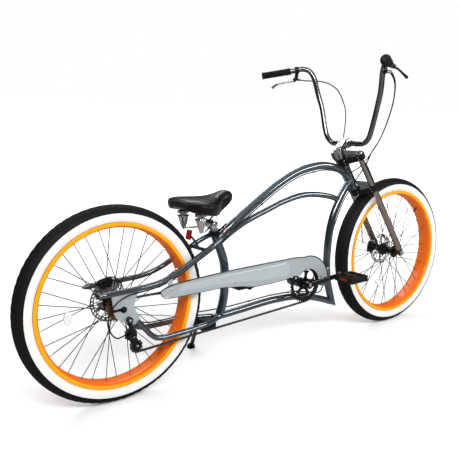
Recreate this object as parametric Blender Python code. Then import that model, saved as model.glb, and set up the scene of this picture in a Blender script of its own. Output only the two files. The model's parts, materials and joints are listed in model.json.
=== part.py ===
"""Chopper bicycle: a long, low cruiser with a raked double-crown fork and an ape-hanger bar.

The bicycle is modelled upright in its own frame and then leans on its side stand as one piece.
Own frame, in metres: +X forward, +Y left, +Z up, origin on the ground below the rear hub.
The last step turns it by the parking lean and puts the middle of its footprint on the origin.
Tables of the frame hold (x, y, z) for the wheelbase and the hub height that place() names.
"""
import math

import bmesh
import bpy
from mathutils import Matrix, Vector

# Driving dimensions, in metres and degrees
PARKING_LEAN = 4.5
GAP = 0.0003
BEARING_GAP = 0.0005

# Wheels
WHEELBASE = 1.4115
RIM_RADIUS = 0.2855
RIM_HALF_WIDTH = 0.0355
RIM_DEPTH = 0.0195
RIM_WALL = 0.003
TYRE_HEIGHT = 0.0575
TYRE_HALF_WIDTH = 0.038
TYRE_WALL = 0.004
TREAD_FLAT = 0.007
WHEEL_SEGMENTS = 36
SPOKE_COUNT = 36
SPOKE_RADIUS = 0.001
SPOKE_CROSSING_DEGREES = 62.0
HUB_RADIUS = 0.017
FLANGE_RADIUS = 0.029
FLANGE_THICKNESS = 0.004
AXLE_RADIUS = 0.005
AXLE_NUT_RADIUS = 0.0095
AXLE_NUT_HEIGHT = 0.007
REAR_FLANGE_Y = 0.027
FRONT_FLANGE_Y = 0.033
REAR_HUB_HALF = 0.034
FRONT_HUB_HALF = 0.047
ROTOR_RADIUS = 0.070
ROTOR_RING = 0.015
ROTOR_THICKNESS = 0.002
FRONT_ROTOR_Y = 0.0495
REAR_ROTOR_Y = 0.0430

# Steering
HEAD_ANGLE = 57.3
FORK_OFFSET = 0.038
HEAD_RADIUS = 0.018
HEAD_WALL = 0.003
HEAD_BOTTOM = 0.4005
HEAD_LENGTH = 0.1218
CUP_HEIGHT = 0.008
CUP_RADIUS = 0.0215
STEERER_RADIUS = 0.0125
LEG_RADIUS = 0.0145
LEG_Y = 0.070
LEG_PROUD = 0.009
CROWN_THICKNESS = 0.026
CROWN_BOSS_RADIUS = 0.0228
CROWN_LEG_BOSS_RADIUS = 0.0207
STEM_REACH = 0.050
STEM_RISE = 0.0432
STEM_HALF_WIDTH = 0.027
BAR_RADIUS = 0.0111
GRIP_RADIUS = 0.0165
GRIP_END = 0.003
GRIP_STEPS = 4
SHIFTER_RADIUS = 0.0225

# Frame tubes
TOP_TUBE_RADIUS = 0.0160
ARCH_TUBE_RADIUS = 0.0120
DOWN_TUBE_RADIUS = 0.0155
LOWER_TUBE_RADIUS = 0.0140
SEAT_TUBE_RADIUS = 0.0165
STAY_RADIUS = 0.0098
STRUT_RADIUS = 0.0125
BRIDGE_RADIUS = 0.0070
TUBE_SIDES = 10
CABLE_RADIUS = 0.0025

# Rear end
DROPOUT_Y = 0.0705
DROPOUT_THICKNESS = 0.006

# Drive
BB_X = 0.820
BB_DROP = 0.052
BB_SHELL_RADIUS = 0.021
BB_HALF_WIDTH = 0.034
BB_CUP_DEPTH = 0.010
SPINDLE_RADIUS = 0.0085
CHAIN_Y = -0.0560
CHAIN_PITCH = 0.0127
CHAIN_PIN_HALF = 0.0042
CHAIN_WAIST_HALF = 0.0030
CHAIN_HALF_WIDTH = 0.0034
RING_TEETH = 38
COG_TEETH = 14
PULLEY_TEETH = 11
RING_THICKNESS = 0.003
COG_THICKNESS = 0.0022
CRANK_LENGTH = 0.170
CRANK_ANGLE = 6.0
CRANK_INNER_Y = 0.077
CRANK_THICKNESS = 0.014
CRANK_FLATNESS = 0.5
PEDAL_SPAN = 0.095
PEDAL_LENGTH = 0.095
PEDAL_THICKNESS = 0.026
GUARD_Y = -0.0690
GUARD_THICKNESS = 0.002
GUARD_RADIUS = 0.1140
GUARD_CUTOUT_RADIUS = 0.0600
GUARD_ROLL_RADIUS = 0.0028
GUARD_PANEL_RISE = 0.0012

# Derailleur: the pulleys' places ahead of the rear hub and below it
GUIDE_PULLEY_AHEAD = 0.027
GUIDE_PULLEY_BELOW = 0.095
TENSION_PULLEY_AHEAD = 0.051
TENSION_PULLEY_BELOW = 0.141
CAGE_PLATE = 0.0018

# Seat
POST_RADIUS = 0.0127
COLLAR_WALL = 0.004
COLLAR_HEIGHT = 0.012
SPRING_TOP_RADIUS = 0.0225
SPRING_Y = 0.060
SPRING_X = 0.317
SPRING_BOTTOM_Z = 0.5600
SPRING_TOP_Z = 0.6290

# Side stand
STAND_PIVOT = (0.365, 0.050, 0.192)
STAND_FOOT_X = 0.436
STAND_FOOT_Y = 0.220
STAND_FOLDED = (-0.98, 0.15, -0.05)
STAND_RADIUS = 0.0085
STAND_EYE_HALF = 0.0088
STAND_EYE_RADIUS = 0.0115
STAND_PIN_RADIUS = 0.0045

# Values worked out from the driving dimensions
TYRE_RADIUS = RIM_RADIUS + TYRE_HEIGHT
HUB_Z = TYRE_RADIUS
REAR_HUB = Vector((0.0, 0.0, HUB_Z))
FRONT_HUB = Vector((WHEELBASE, 0.0, HUB_Z))
HEAD_TILT = math.radians(90.0 - HEAD_ANGLE)
AXIS_UP = Vector((-math.sin(HEAD_TILT), 0.0, math.cos(HEAD_TILT)))
AXIS_FORE = Vector((math.cos(HEAD_TILT), 0.0, math.sin(HEAD_TILT)))
STEER_FOOT = FRONT_HUB - FORK_OFFSET * AXIS_FORE
HEAD_TOP = HEAD_BOTTOM + HEAD_LENGTH
UPPER_CROWN_BOTTOM = HEAD_TOP + CUP_HEIGHT + BEARING_GAP
UPPER_CROWN_TOP = UPPER_CROWN_BOTTOM + CROWN_THICKNESS
LOWER_CROWN_TOP = HEAD_BOTTOM - CUP_HEIGHT - BEARING_GAP
STEM_HEIGHT = UPPER_CROWN_TOP + STEM_RISE
BB_Z = HUB_Z - BB_DROP
CRANK_REACH = Vector((math.cos(math.radians(CRANK_ANGLE)), 0.0, math.sin(math.radians(CRANK_ANGLE))))
RING_PITCH_RADIUS = CHAIN_PITCH / (2.0 * math.sin(math.pi / RING_TEETH))
COG_PITCH_RADIUS = CHAIN_PITCH / (2.0 * math.sin(math.pi / COG_TEETH))
PULLEY_PITCH_RADIUS = CHAIN_PITCH / (2.0 * math.sin(math.pi / PULLEY_TEETH))
PEDAL_Y = CRANK_INNER_Y + 0.012 + CRANK_THICKNESS
GUIDE_PULLEY = (GUIDE_PULLEY_AHEAD, HUB_Z - GUIDE_PULLEY_BELOW)
TENSION_PULLEY = (TENSION_PULLEY_AHEAD, HUB_Z - TENSION_PULLEY_BELOW)


def place(x, y, z):
    """A point of the frame from a table drawn for the wheelbase and the hub height named here.

    A longer wheelbase is taken up between the seat tube and the down tube; larger wheels lift it all.
    """
    drawn_wheelbase = 1.4115
    drawn_hub_height = 0.343
    stretch_from = 0.47
    stretch_to = 0.95
    share = min(max((x - stretch_from) / (stretch_to - stretch_from), 0.0), 1.0)
    return Vector((x + (WHEELBASE - drawn_wheelbase) * share, y, z + HUB_Z - drawn_hub_height))


def placed(points):
    """The points of a whole table, put in their places."""
    return [place(*point) for point in points]


def outline_placed(points):
    """A flat outline of (x, z) from a table, put in its place."""
    corners = [place(x, 0.0, z) for x, z in points]
    return [(corner.x, corner.z) for corner in corners]


BB = Vector((place(BB_X, 0.0, 0.0).x, 0.0, BB_Z))

# Colours: name, base colour, roughness, metallic
FINISHES = {
    "frame_grey": ((0.28, 0.32, 0.35), 0.32, 0.75),
    "guard_silver": ((0.55, 0.59, 0.62), 0.40, 0.60),
    "chrome": ((0.80, 0.80, 0.80), 0.10, 1.00),
    "black_metal": ((0.02, 0.02, 0.02), 0.35, 0.30),
    "black_plastic": ((0.02, 0.02, 0.02), 0.55, 0.00),
    "rubber": ((0.03, 0.03, 0.03), 0.80, 0.00),
    "rim_orange": ((0.95, 0.30, 0.02), 0.30, 0.30),
    "spoke_steel": ((0.50, 0.50, 0.50), 0.30, 1.00),
    "cog_bronze": ((0.30, 0.22, 0.12), 0.40, 0.90),
    "leather": ((0.02, 0.02, 0.02), 0.50, 0.00),
    "red_plastic": ((0.60, 0.02, 0.02), 0.25, 0.00),
}


def clear_scene():
    """Empty the scene of its objects."""
    for old in list(bpy.data.objects):
        bpy.data.objects.remove(old, do_unlink=True)


def finish(slot):
    """The material of one finish, made once."""
    if slot in bpy.data.materials:
        return bpy.data.materials[slot]
    colour, roughness, metallic = FINISHES[slot]
    material = bpy.data.materials.new(slot)
    material.use_nodes = True
    shader = material.node_tree.nodes["Principled BSDF"]
    shader.inputs["Base Color"].default_value = (*colour, 1.0)
    shader.inputs["Roughness"].default_value = roughness
    shader.inputs["Metallic"].default_value = metallic
    return material


def empty(name, parent=None, location=(0.0, 0.0, 0.0)):
    """An empty that carries what moves together."""
    carrier = bpy.data.objects.new(name, None)
    bpy.context.collection.objects.link(carrier)
    carrier.empty_display_size = 0.05
    carrier.parent = parent
    carrier.location = location
    return carrier


def piece(name, bm, parent, slot, centre=(0.0, 0.0, 0.0)):
    """A named object from a mesh drawn in the bicycle's frame; centre is its parent's place there."""
    bmesh.ops.recalc_face_normals(bm, faces=bm.faces[:])
    mesh = bpy.data.meshes.new(name)
    bm.to_mesh(mesh)
    bm.free()
    mesh.transform(Matrix.Translation(-Vector(centre)))
    mesh.materials.append(finish(slot))
    mesh.shade_smooth()
    mesh.set_sharp_from_angle(angle=math.radians(35.0))
    made = bpy.data.objects.new(name, mesh)
    bpy.context.collection.objects.link(made)
    made.parent = parent
    return made


def hidden(name, bm, parent, centre=(0.0, 0.0, 0.0)):
    """A cutter or a piece to be joined on: the same as a piece, but left out of the model."""
    made = piece(name, bm, parent, "black_metal", centre)
    made.hide_render = True
    made.display_type = "WIRE"
    return made


def combine(target, other, operation):
    """Cut or join another object into the target."""
    step = target.modifiers.new(operation.lower() + "_" + other.name, "BOOLEAN")
    step.operation = operation
    step.solver = "EXACT"
    step.use_self = True
    step.object = other
    return target


def smooth_route(points, step):
    """Points about one step apart on a smooth curve through the given ones."""
    knots = [Vector(p) for p in points]
    ends = [2.0 * knots[0] - knots[1]] + knots + [2.0 * knots[-1] - knots[-2]]
    route = []
    for before, start, stop, after in zip(ends, ends[1:], ends[2:], ends[3:]):
        count = max(1, round((stop - start).length / step))
        for k in range(count):
            t = k / count
            route.append(
                0.5
                * (
                    2.0 * start
                    + (stop - before) * t
                    + (2.0 * before - 5.0 * start + 4.0 * stop - after) * t * t
                    + (3.0 * start - before - 3.0 * stop + after) * t * t * t
                )
            )
    route.append(knots[-1])
    return route


def lengthened(route, by):
    """The same route with both ends moved outwards, so that a cutter leaves no face flush."""
    first = route[0] + (route[0] - route[1]).normalized() * by
    last = route[-1] + (route[-1] - route[-2]).normalized() * by
    return [first] + route[1:-1] + [last]


def sweep(bm, route, radii, sides=TUBE_SIDES, flat=1.0):
    """A bar along a route, with one radius for each point or one for all; flat narrows it sideways."""
    if not isinstance(radii, (list, tuple)):
        radii = [radii] * len(route)
    tangents = []
    for k in range(len(route)):
        ahead = route[min(k + 1, len(route) - 1)]
        behind = route[max(k - 1, 0)]
        tangents.append((ahead - behind).normalized())
    across = Vector((0.0, 1.0, 0.0))
    if abs(across.dot(tangents[0])) > 0.9:
        across = Vector((0.0, 0.0, 1.0))
    rings = []
    for point, tangent, radius in zip(route, tangents, radii):
        across = (across - tangent * across.dot(tangent)).normalized()
        other = tangent.cross(across)
        ring = []
        for k in range(sides):
            angle = 2.0 * math.pi * k / sides
            offset = flat * math.cos(angle) * across + math.sin(angle) * other
            ring.append(bm.verts.new(point + radius * offset))
        rings.append(ring)
    skin(bm, rings)


def skin(bm, rings, closed_loop=False):
    """Faces between rings of equally many vertices, capped at the ends unless the rings close a loop."""
    count = len(rings[0])
    pairs = list(zip(rings, rings[1:]))
    if closed_loop:
        pairs.append((rings[-1], rings[0]))
    for low, high in pairs:
        for k in range(count):
            bm.faces.new((low[k], low[(k + 1) % count], high[(k + 1) % count], high[k]))
    if not closed_loop:
        bm.faces.new(rings[0])
        bm.faces.new(rings[-1])


def turned(bm, profile, segments, centre, axis="Y"):
    """A ring turned about an axis from a closed profile of (radius, place along the axis)."""
    rings = []
    for k in range(segments):
        angle = 2.0 * math.pi * (k + 0.5) / segments
        ring = []
        for radius, along in profile:
            if axis == "Y":
                offset = Vector((radius * math.cos(angle), along, radius * math.sin(angle)))
            else:
                offset = steer_offset(radius * math.cos(angle), radius * math.sin(angle), along)
            ring.append(bm.verts.new(Vector(centre) + offset))
        rings.append(ring)
    skin(bm, rings, closed_loop=True)


def rod(bm, start, stop, radius, sides=12):
    """A straight round rod between two points."""
    sweep(bm, [Vector(start), Vector(stop)], radius, sides)


def plate(bm, outline, y_low, y_high):
    """A flat plate square to Y, from its outline of (x, z)."""
    rings = [[bm.verts.new((x, y, z)) for x, z in outline] for y in (y_low, y_high)]
    skin(bm, rings)


def box(bm, low, high):
    """A block between two corners."""
    outline = [(low[0], low[2]), (high[0], low[2]), (high[0], high[2]), (low[0], high[2])]
    plate(bm, outline, low[1], high[1])


def arc(centre, radius, start, stop, count):
    """Points on an arc in the plane of X and Z, angles in degrees from +X towards +Z."""
    points = []
    for k in range(count + 1):
        angle = math.radians(start + (stop - start) * k / count)
        points.append((centre[0] + radius * math.cos(angle), centre[1] + radius * math.sin(angle)))
    return points


def steer_offset(fore, side, up):
    """A step in the steering frame: ahead of the axis, to the left, and up along it."""
    return AXIS_FORE * fore + Vector((0.0, side, 0.0)) + AXIS_UP * up


def steer_point(fore, side, up):
    """A point in the steering frame, counted from the axis's foot beside the front hub."""
    return STEER_FOOT + steer_offset(fore, side, up)


def ground_height(y):
    """Height of the ground in the bicycle's own frame, which leans with it, at a distance to the left."""
    facet_rise = TYRE_RADIUS * (1.0 - math.cos(math.pi / WHEEL_SEGMENTS))
    return facet_rise + (y - TREAD_FLAT) * math.tan(math.radians(PARKING_LEAN))


def mirrored(points):
    """The same points on the other side of the bicycle."""
    return [(x, -y, z) for x, y, z in points]


def wheel(label, hub, flange_y, hub_half, carrier):
    """Tyre, rim, and hub with its laced spokes."""
    bm = bmesh.new()
    bead_radius = RIM_RADIUS - 0.009
    bead_y = RIM_HALF_WIDTH - RIM_WALL - 0.003
    outer = [
        (bead_radius + GAP, bead_y),
        (RIM_RADIUS + TYRE_HEIGHT * 0.36, TYRE_HALF_WIDTH),
        (RIM_RADIUS + TYRE_HEIGHT * 0.70, TYRE_HALF_WIDTH * 0.88),
        (RIM_RADIUS + TYRE_HEIGHT * 0.91, TYRE_HALF_WIDTH * 0.58),
        (TYRE_RADIUS, TREAD_FLAT),
    ]
    inner = [
        (TYRE_RADIUS - TYRE_WALL - 0.002, 0.012),
        (RIM_RADIUS + TYRE_HEIGHT * 0.36, TYRE_HALF_WIDTH - TYRE_WALL),
        (bead_radius + GAP, bead_y - TYRE_WALL),
    ]
    section = outer + [(r, -y) for r, y in reversed(outer)]
    section += [(r, -y) for r, y in reversed(inner)] + inner
    turned(bm, section, WHEEL_SEGMENTS, hub)
    piece(label + "_tyre", bm, carrier, "rubber", hub)

    bm = bmesh.new()
    bed = RIM_RADIUS - RIM_DEPTH
    half = [
        (RIM_RADIUS, RIM_HALF_WIDTH),
        (RIM_RADIUS - 0.013, RIM_HALF_WIDTH),
        (bed, RIM_HALF_WIDTH - 0.009),
    ]
    lip = [
        (bead_radius, RIM_HALF_WIDTH - RIM_WALL),
        (RIM_RADIUS, RIM_HALF_WIDTH - RIM_WALL),
    ]
    section = half + [(r, -y) for r, y in reversed(half)]
    section += [(r, -y) for r, y in reversed(lip)] + lip
    turned(bm, section, WHEEL_SEGMENTS, hub)
    piece(label + "_rim", bm, carrier, "rim_orange", hub)

    bm = bmesh.new()
    bore = AXLE_RADIUS + BEARING_GAP
    flange_out = flange_y + FLANGE_THICKNESS / 2.0
    flange_in = flange_y - FLANGE_THICKNESS / 2.0
    half = [
        (bore, hub_half),
        (HUB_RADIUS, hub_half),
        (HUB_RADIUS, flange_out),
        (FLANGE_RADIUS, flange_out),
        (FLANGE_RADIUS, flange_in),
        (HUB_RADIUS, flange_in),
    ]
    section = half + [(r, -y) for r, y in reversed(half)]
    turned(bm, section, 16, hub)
    body = piece(label + "_hub_and_spokes", bm, carrier, "spoke_steel", hub)
    bm = bmesh.new()
    near = FLANGE_RADIUS - 0.003
    far = bed * math.cos(math.pi / WHEEL_SEGMENTS) - SPOKE_RADIUS * 0.3 - GAP
    for k in range(SPOKE_COUNT):
        side = 1.0 if k % 2 else -1.0
        lead = 1.0 if (k // 2) % 2 else -1.0
        rim_angle = 2.0 * math.pi * k / SPOKE_COUNT
        hub_angle = rim_angle - lead * math.radians(SPOKE_CROSSING_DEGREES)
        start_y = side * (flange_y + lead * 0.0008)
        start = hub + Vector((near * math.cos(hub_angle), start_y, near * math.sin(hub_angle)))
        stop = hub + Vector((far * math.cos(rim_angle), side * 0.006, far * math.sin(rim_angle)))
        rod(bm, start, stop, SPOKE_RADIUS, 3)
    spokes = hidden(label + "_spokes_to_join", bm, carrier, hub)
    combine(body, spokes, "UNION")
    return body


def rotor(label, hub, y, seat_y, carrier, target=None):
    """A brake disc: a ring on slanted arms; it is its own piece, or joined to the hub given."""
    bm = bmesh.new()
    low = y - ROTOR_THICKNESS / 2.0
    high = y + ROTOR_THICKNESS / 2.0
    inner = ROTOR_RADIUS - ROTOR_RING
    turned(bm, [(inner, low), (ROTOR_RADIUS, low), (ROTOR_RADIUS, high), (inner, high)], 28, hub)
    if target is None:
        target = piece(label, bm, carrier, "spoke_steel", hub)
    else:
        combine(target, hidden(label + "_ring_to_join", bm, carrier, hub), "UNION")
    boss_inner = AXLE_RADIUS + 0.003
    boss_outer = HUB_RADIUS + 0.003
    bm = bmesh.new()
    turned(bm, [(boss_inner, seat_y), (boss_outer, seat_y), (boss_outer, high), (boss_inner, high)], 16, hub)
    boss = hidden(label + "_boss_to_join", bm, carrier, hub)
    bm = bmesh.new()
    for k in range(6):
        angle = math.pi * k / 3.0
        lead = angle + math.radians(28.0)
        start = hub + Vector((math.cos(angle) * (boss_outer - 0.003), y, math.sin(angle) * (boss_outer - 0.003)))
        stop = hub + Vector((math.cos(lead) * (inner + 0.003), y, math.sin(lead) * (inner + 0.003)))
        across = Vector((-(stop - start).z, 0.0, (stop - start).x)).normalized() * 0.0035
        corners = [start - across, stop - across, stop + across, start + across]
        plate(bm, [(c.x, c.z) for c in corners], low + 0.0002, high - 0.0002)
    arms = hidden(label + "_arms_to_join", bm, carrier, hub)
    combine(target, boss, "UNION")
    combine(target, arms, "UNION")
    return target


def axle(label, hub, face_y, parent, centre=(0.0, 0.0, 0.0)):
    """An axle with its nuts seated outside the plates or legs that hold it."""
    bm = bmesh.new()
    reach = face_y + AXLE_NUT_HEIGHT + 0.006
    rod(bm, hub + Vector((0.0, -reach, 0.0)), hub + Vector((0.0, reach, 0.0)), AXLE_RADIUS, 12)
    made = piece(label + "_axle", bm, parent, "black_metal", centre)
    bm = bmesh.new()
    for sign in (1.0, -1.0):
        low = hub + Vector((0.0, sign * (face_y + GAP), 0.0))
        rod(bm, low, low + Vector((0.0, sign * AXLE_NUT_HEIGHT, 0.0)), AXLE_NUT_RADIUS, 6)
    nuts = hidden(label + "_axle_nuts_to_join", bm, parent, centre)
    combine(made, nuts, "UNION")
    return made


def frame_tubes(frame):
    """The main tubes, each coped or mitred to its neighbour."""
    head_cutter_bm = bmesh.new()
    rod(head_cutter_bm, steer_point(0, 0, HEAD_BOTTOM - 0.1), steer_point(0, 0, HEAD_TOP + 0.1), HEAD_RADIUS + GAP, 24)
    head_cutter = hidden("head_cutter", head_cutter_bm, frame)

    bm = bmesh.new()
    bore = HEAD_RADIUS - HEAD_WALL
    profile = [(bore, HEAD_BOTTOM), (HEAD_RADIUS, HEAD_BOTTOM), (HEAD_RADIUS, HEAD_TOP), (bore, HEAD_TOP)]
    turned(bm, profile, 20, STEER_FOOT, "steer")
    piece("head_tube", bm, frame, "frame_grey")

    for label, low, high in (
        ("lower", HEAD_BOTTOM - CUP_HEIGHT, HEAD_BOTTOM - GAP),
        ("upper", HEAD_TOP + GAP, HEAD_TOP + CUP_HEIGHT),
    ):
        bm = bmesh.new()
        race = STEERER_RADIUS + BEARING_GAP
        profile = [(race, low), (CUP_RADIUS, low), (CUP_RADIUS, high), (race, high)]
        turned(bm, profile, 20, STEER_FOOT, "steer")
        piece("headset_cup_" + label, bm, frame, "black_metal")

    seat_route = placed([
        (0.4106, 0.0, 0.549),
        (0.4270, 0.0, 0.505),
        (0.4440, 0.0, 0.462),
        (0.4550, 0.0, 0.425),
        (0.4590, 0.0, 0.380),
        (0.4580, 0.0, 0.335),
        (0.4540, 0.0, 0.295),
        (0.4450, 0.0, 0.257),
        (0.4350, 0.0, 0.230),
        (0.4300, 0.0, 0.216),
    ])
    seat_path = smooth_route(seat_route, 0.04)
    cutter_bm = bmesh.new()
    sweep(cutter_bm, seat_path, SEAT_TUBE_RADIUS + GAP, TUBE_SIDES)
    seat_cutter = hidden("seat_tube_cutter", cutter_bm, frame)

    top_head_end = ((-0.0101, -0.0577), (-0.0190, -0.0319), (-0.0281, -0.0117), (-0.0432, 0.0111))
    top_route = [steer_point(fore, 0.0, HEAD_TOP + up) for fore, up in top_head_end]
    top_route += placed([
        (1.0160, 0.0, 0.759),
        (0.9580, 0.0, 0.765),
        (0.9010, 0.0, 0.760),
        (0.8400, 0.0, 0.749),
        (0.7860, 0.0, 0.731),
        (0.7330, 0.0, 0.707),
        (0.6820, 0.0, 0.680),
        (0.5820, 0.0, 0.620),
        (0.5000, 0.0, 0.568),
        (0.4600, 0.0, 0.542),
        (0.4250, 0.0, 0.517),
    ])
    bm = bmesh.new()
    top_path = smooth_route(top_route, 0.05)
    top_radii = [TOP_TUBE_RADIUS] * len(top_path)
    top_radii[:3] = [TOP_TUBE_RADIUS - 0.0015] * 3
    top_radii[-2:] = [TOP_TUBE_RADIUS - 0.001, TOP_TUBE_RADIUS - 0.004]
    sweep(bm, top_path, top_radii)
    top = piece("top_tube", bm, frame, "frame_grey")
    room_bm = bmesh.new()
    rod(room_bm, steer_point(0, 0, HEAD_TOP), steer_point(0, 0, HEAD_TOP + 0.1), CROWN_BOSS_RADIUS + 0.003, 24)
    crown_room = hidden("crown_room", room_bm, frame)
    combine(top, head_cutter, "DIFFERENCE")
    combine(top, crown_room, "DIFFERENCE")
    combine(top, seat_cutter, "DIFFERENCE")
    cutter_bm = bmesh.new()
    sweep(cutter_bm, top_path, TOP_TUBE_RADIUS + GAP)
    top_cutter = hidden("top_tube_cutter", cutter_bm, frame)

    down_head_end = ((0.0008, 0.0440), (-0.0321, 0.0354), (-0.0773, 0.0205))
    down_route = [steer_point(fore, 0.0, HEAD_BOTTOM + up) for fore, up in down_head_end]
    down_route += placed([
        (1.0580, 0.0, 0.590),
        (1.0350, 0.0, 0.544),
        (1.0180, 0.0, 0.493),
        (1.0080, 0.0, 0.441),
        (1.0030, 0.0, 0.389),
        (1.0020, 0.0, 0.331),
        (1.0060, 0.0, 0.276),
        (1.0170, 0.0, 0.225),
        (1.0515, 0.0, 0.107),
    ])
    down_path = smooth_route(down_route, 0.05)
    cutter_bm = bmesh.new()
    sweep(cutter_bm, down_path, DOWN_TUBE_RADIUS + GAP)
    down_cutter = hidden("down_tube_cutter", cutter_bm, frame)

    lower_route = placed([
        (1.1000, 0.0, 0.140),
        (1.0360, 0.0, 0.160),
        (0.9660, 0.0, 0.186),
        (0.9060, 0.0, 0.205),
        (0.8480, 0.0, 0.218),
        (0.7920, 0.0, 0.225),
        (0.7370, 0.0, 0.228),
        (0.6830, 0.0, 0.229),
        (0.6310, 0.0, 0.227),
        (0.5310, 0.0, 0.221),
        (0.4350, 0.0, 0.216),
        (0.4000, 0.0, 0.214),
    ])
    corner = lower_route[1]
    down_way = (down_route[-1] - down_route[-2]).normalized()
    lower_way = (lower_route[0] - lower_route[2]).normalized()
    seam = (down_way + lower_way).normalized()
    normal = Vector((seam.z, 0.0, -seam.x))
    reach = 0.2

    def half_space(name, side):
        offset = -normal * side * GAP * 0.5
        far = normal * side * reach
        quad = [
            corner - seam * reach + offset,
            corner + seam * reach + offset,
            corner + seam * reach + far,
            corner - seam * reach + far,
        ]
        cutter_bm = bmesh.new()
        plate(cutter_bm, [(p.x, p.z) for p in quad], -reach, reach)
        return hidden(name, cutter_bm, frame)

    below = half_space("mitre_below", -1.0)
    above = half_space("mitre_above", 1.0)
    lower_first = lower_way.dot(normal) > 0.0
    bm = bmesh.new()
    sweep(bm, down_path, DOWN_TUBE_RADIUS)
    down = piece("down_tube", bm, frame, "frame_grey")
    combine(down, head_cutter, "DIFFERENCE")
    combine(down, above if down_way.dot(normal) > 0.0 else below, "DIFFERENCE")
    bm = bmesh.new()
    lower_path = smooth_route(lower_route, 0.05)
    sweep(bm, lower_path, LOWER_TUBE_RADIUS)
    lower = piece("lower_tube", bm, frame, "frame_grey")
    combine(lower, above if lower_first else below, "DIFFERENCE")
    cutter_bm = bmesh.new()
    sweep(cutter_bm, lengthened(lower_path, GAP), LOWER_TUBE_RADIUS + GAP)
    lower_cutter = hidden("lower_tube_cutter", cutter_bm, frame)

    bm = bmesh.new()
    sweep(bm, seat_path, SEAT_TUBE_RADIUS)
    seat = piece("seat_tube", bm, frame, "frame_grey")
    combine(seat, lower_cutter, "DIFFERENCE")

    arch_route = placed([
        (1.0690, 0.0, 0.612),
        (1.0150, 0.0, 0.630),
        (0.9550, 0.0, 0.642),
        (0.8980, 0.0, 0.648),
        (0.8420, 0.0, 0.647),
        (0.7870, 0.0, 0.638),
        (0.7340, 0.0, 0.626),
        (0.6820, 0.0, 0.609),
        (0.5820, 0.0, 0.577),
        (0.5200, 0.0, 0.551),
        (0.4700, 0.0, 0.524),
        (0.4300, 0.0, 0.499),
    ])
    bm = bmesh.new()
    arch_path = smooth_route(arch_route, 0.05)
    sweep(bm, arch_path, ARCH_TUBE_RADIUS)
    arch = piece("arch_tube", bm, frame, "frame_grey")
    for cutter in (down_cutter, seat_cutter, top_cutter):
        combine(arch, cutter, "DIFFERENCE")
    cutter_bm = bmesh.new()
    sweep(cutter_bm, arch_path, ARCH_TUBE_RADIUS + GAP)
    arch_cutter = hidden("arch_tube_cutter", cutter_bm, frame)

    bm = bmesh.new()
    race = SPINDLE_RADIUS + BEARING_GAP
    cup_end = BB_HALF_WIDTH - BB_CUP_DEPTH
    half = [
        (BB_SHELL_RADIUS - 0.004, cup_end),
        (race, cup_end),
        (race, BB_HALF_WIDTH),
        (BB_SHELL_RADIUS, BB_HALF_WIDTH),
    ]
    profile = half + [(r, -y) for r, y in reversed(half)]
    turned(bm, profile, 20, BB)
    piece("bottom_bracket_shell", bm, frame, "frame_grey")
    cutter_bm = bmesh.new()
    rod(cutter_bm, BB + Vector((0, -0.1, 0)), BB + Vector((0, 0.1, 0)), BB_SHELL_RADIUS + GAP, 20)
    shell_cutter = hidden("shell_cutter", cutter_bm, frame)
    bm = bmesh.new()
    rod(bm, BB, place(1.0060, 0.0, 0.250), STRUT_RADIUS)
    strut = piece("bottom_bracket_strut", bm, frame, "frame_grey")
    combine(strut, shell_cutter, "DIFFERENCE")
    combine(strut, down_cutter, "DIFFERENCE")
    cutters = {"seat": seat_cutter, "top": top_cutter, "lower": lower_cutter, "arch": arch_cutter, "down": down_cutter}
    return cutters


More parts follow.
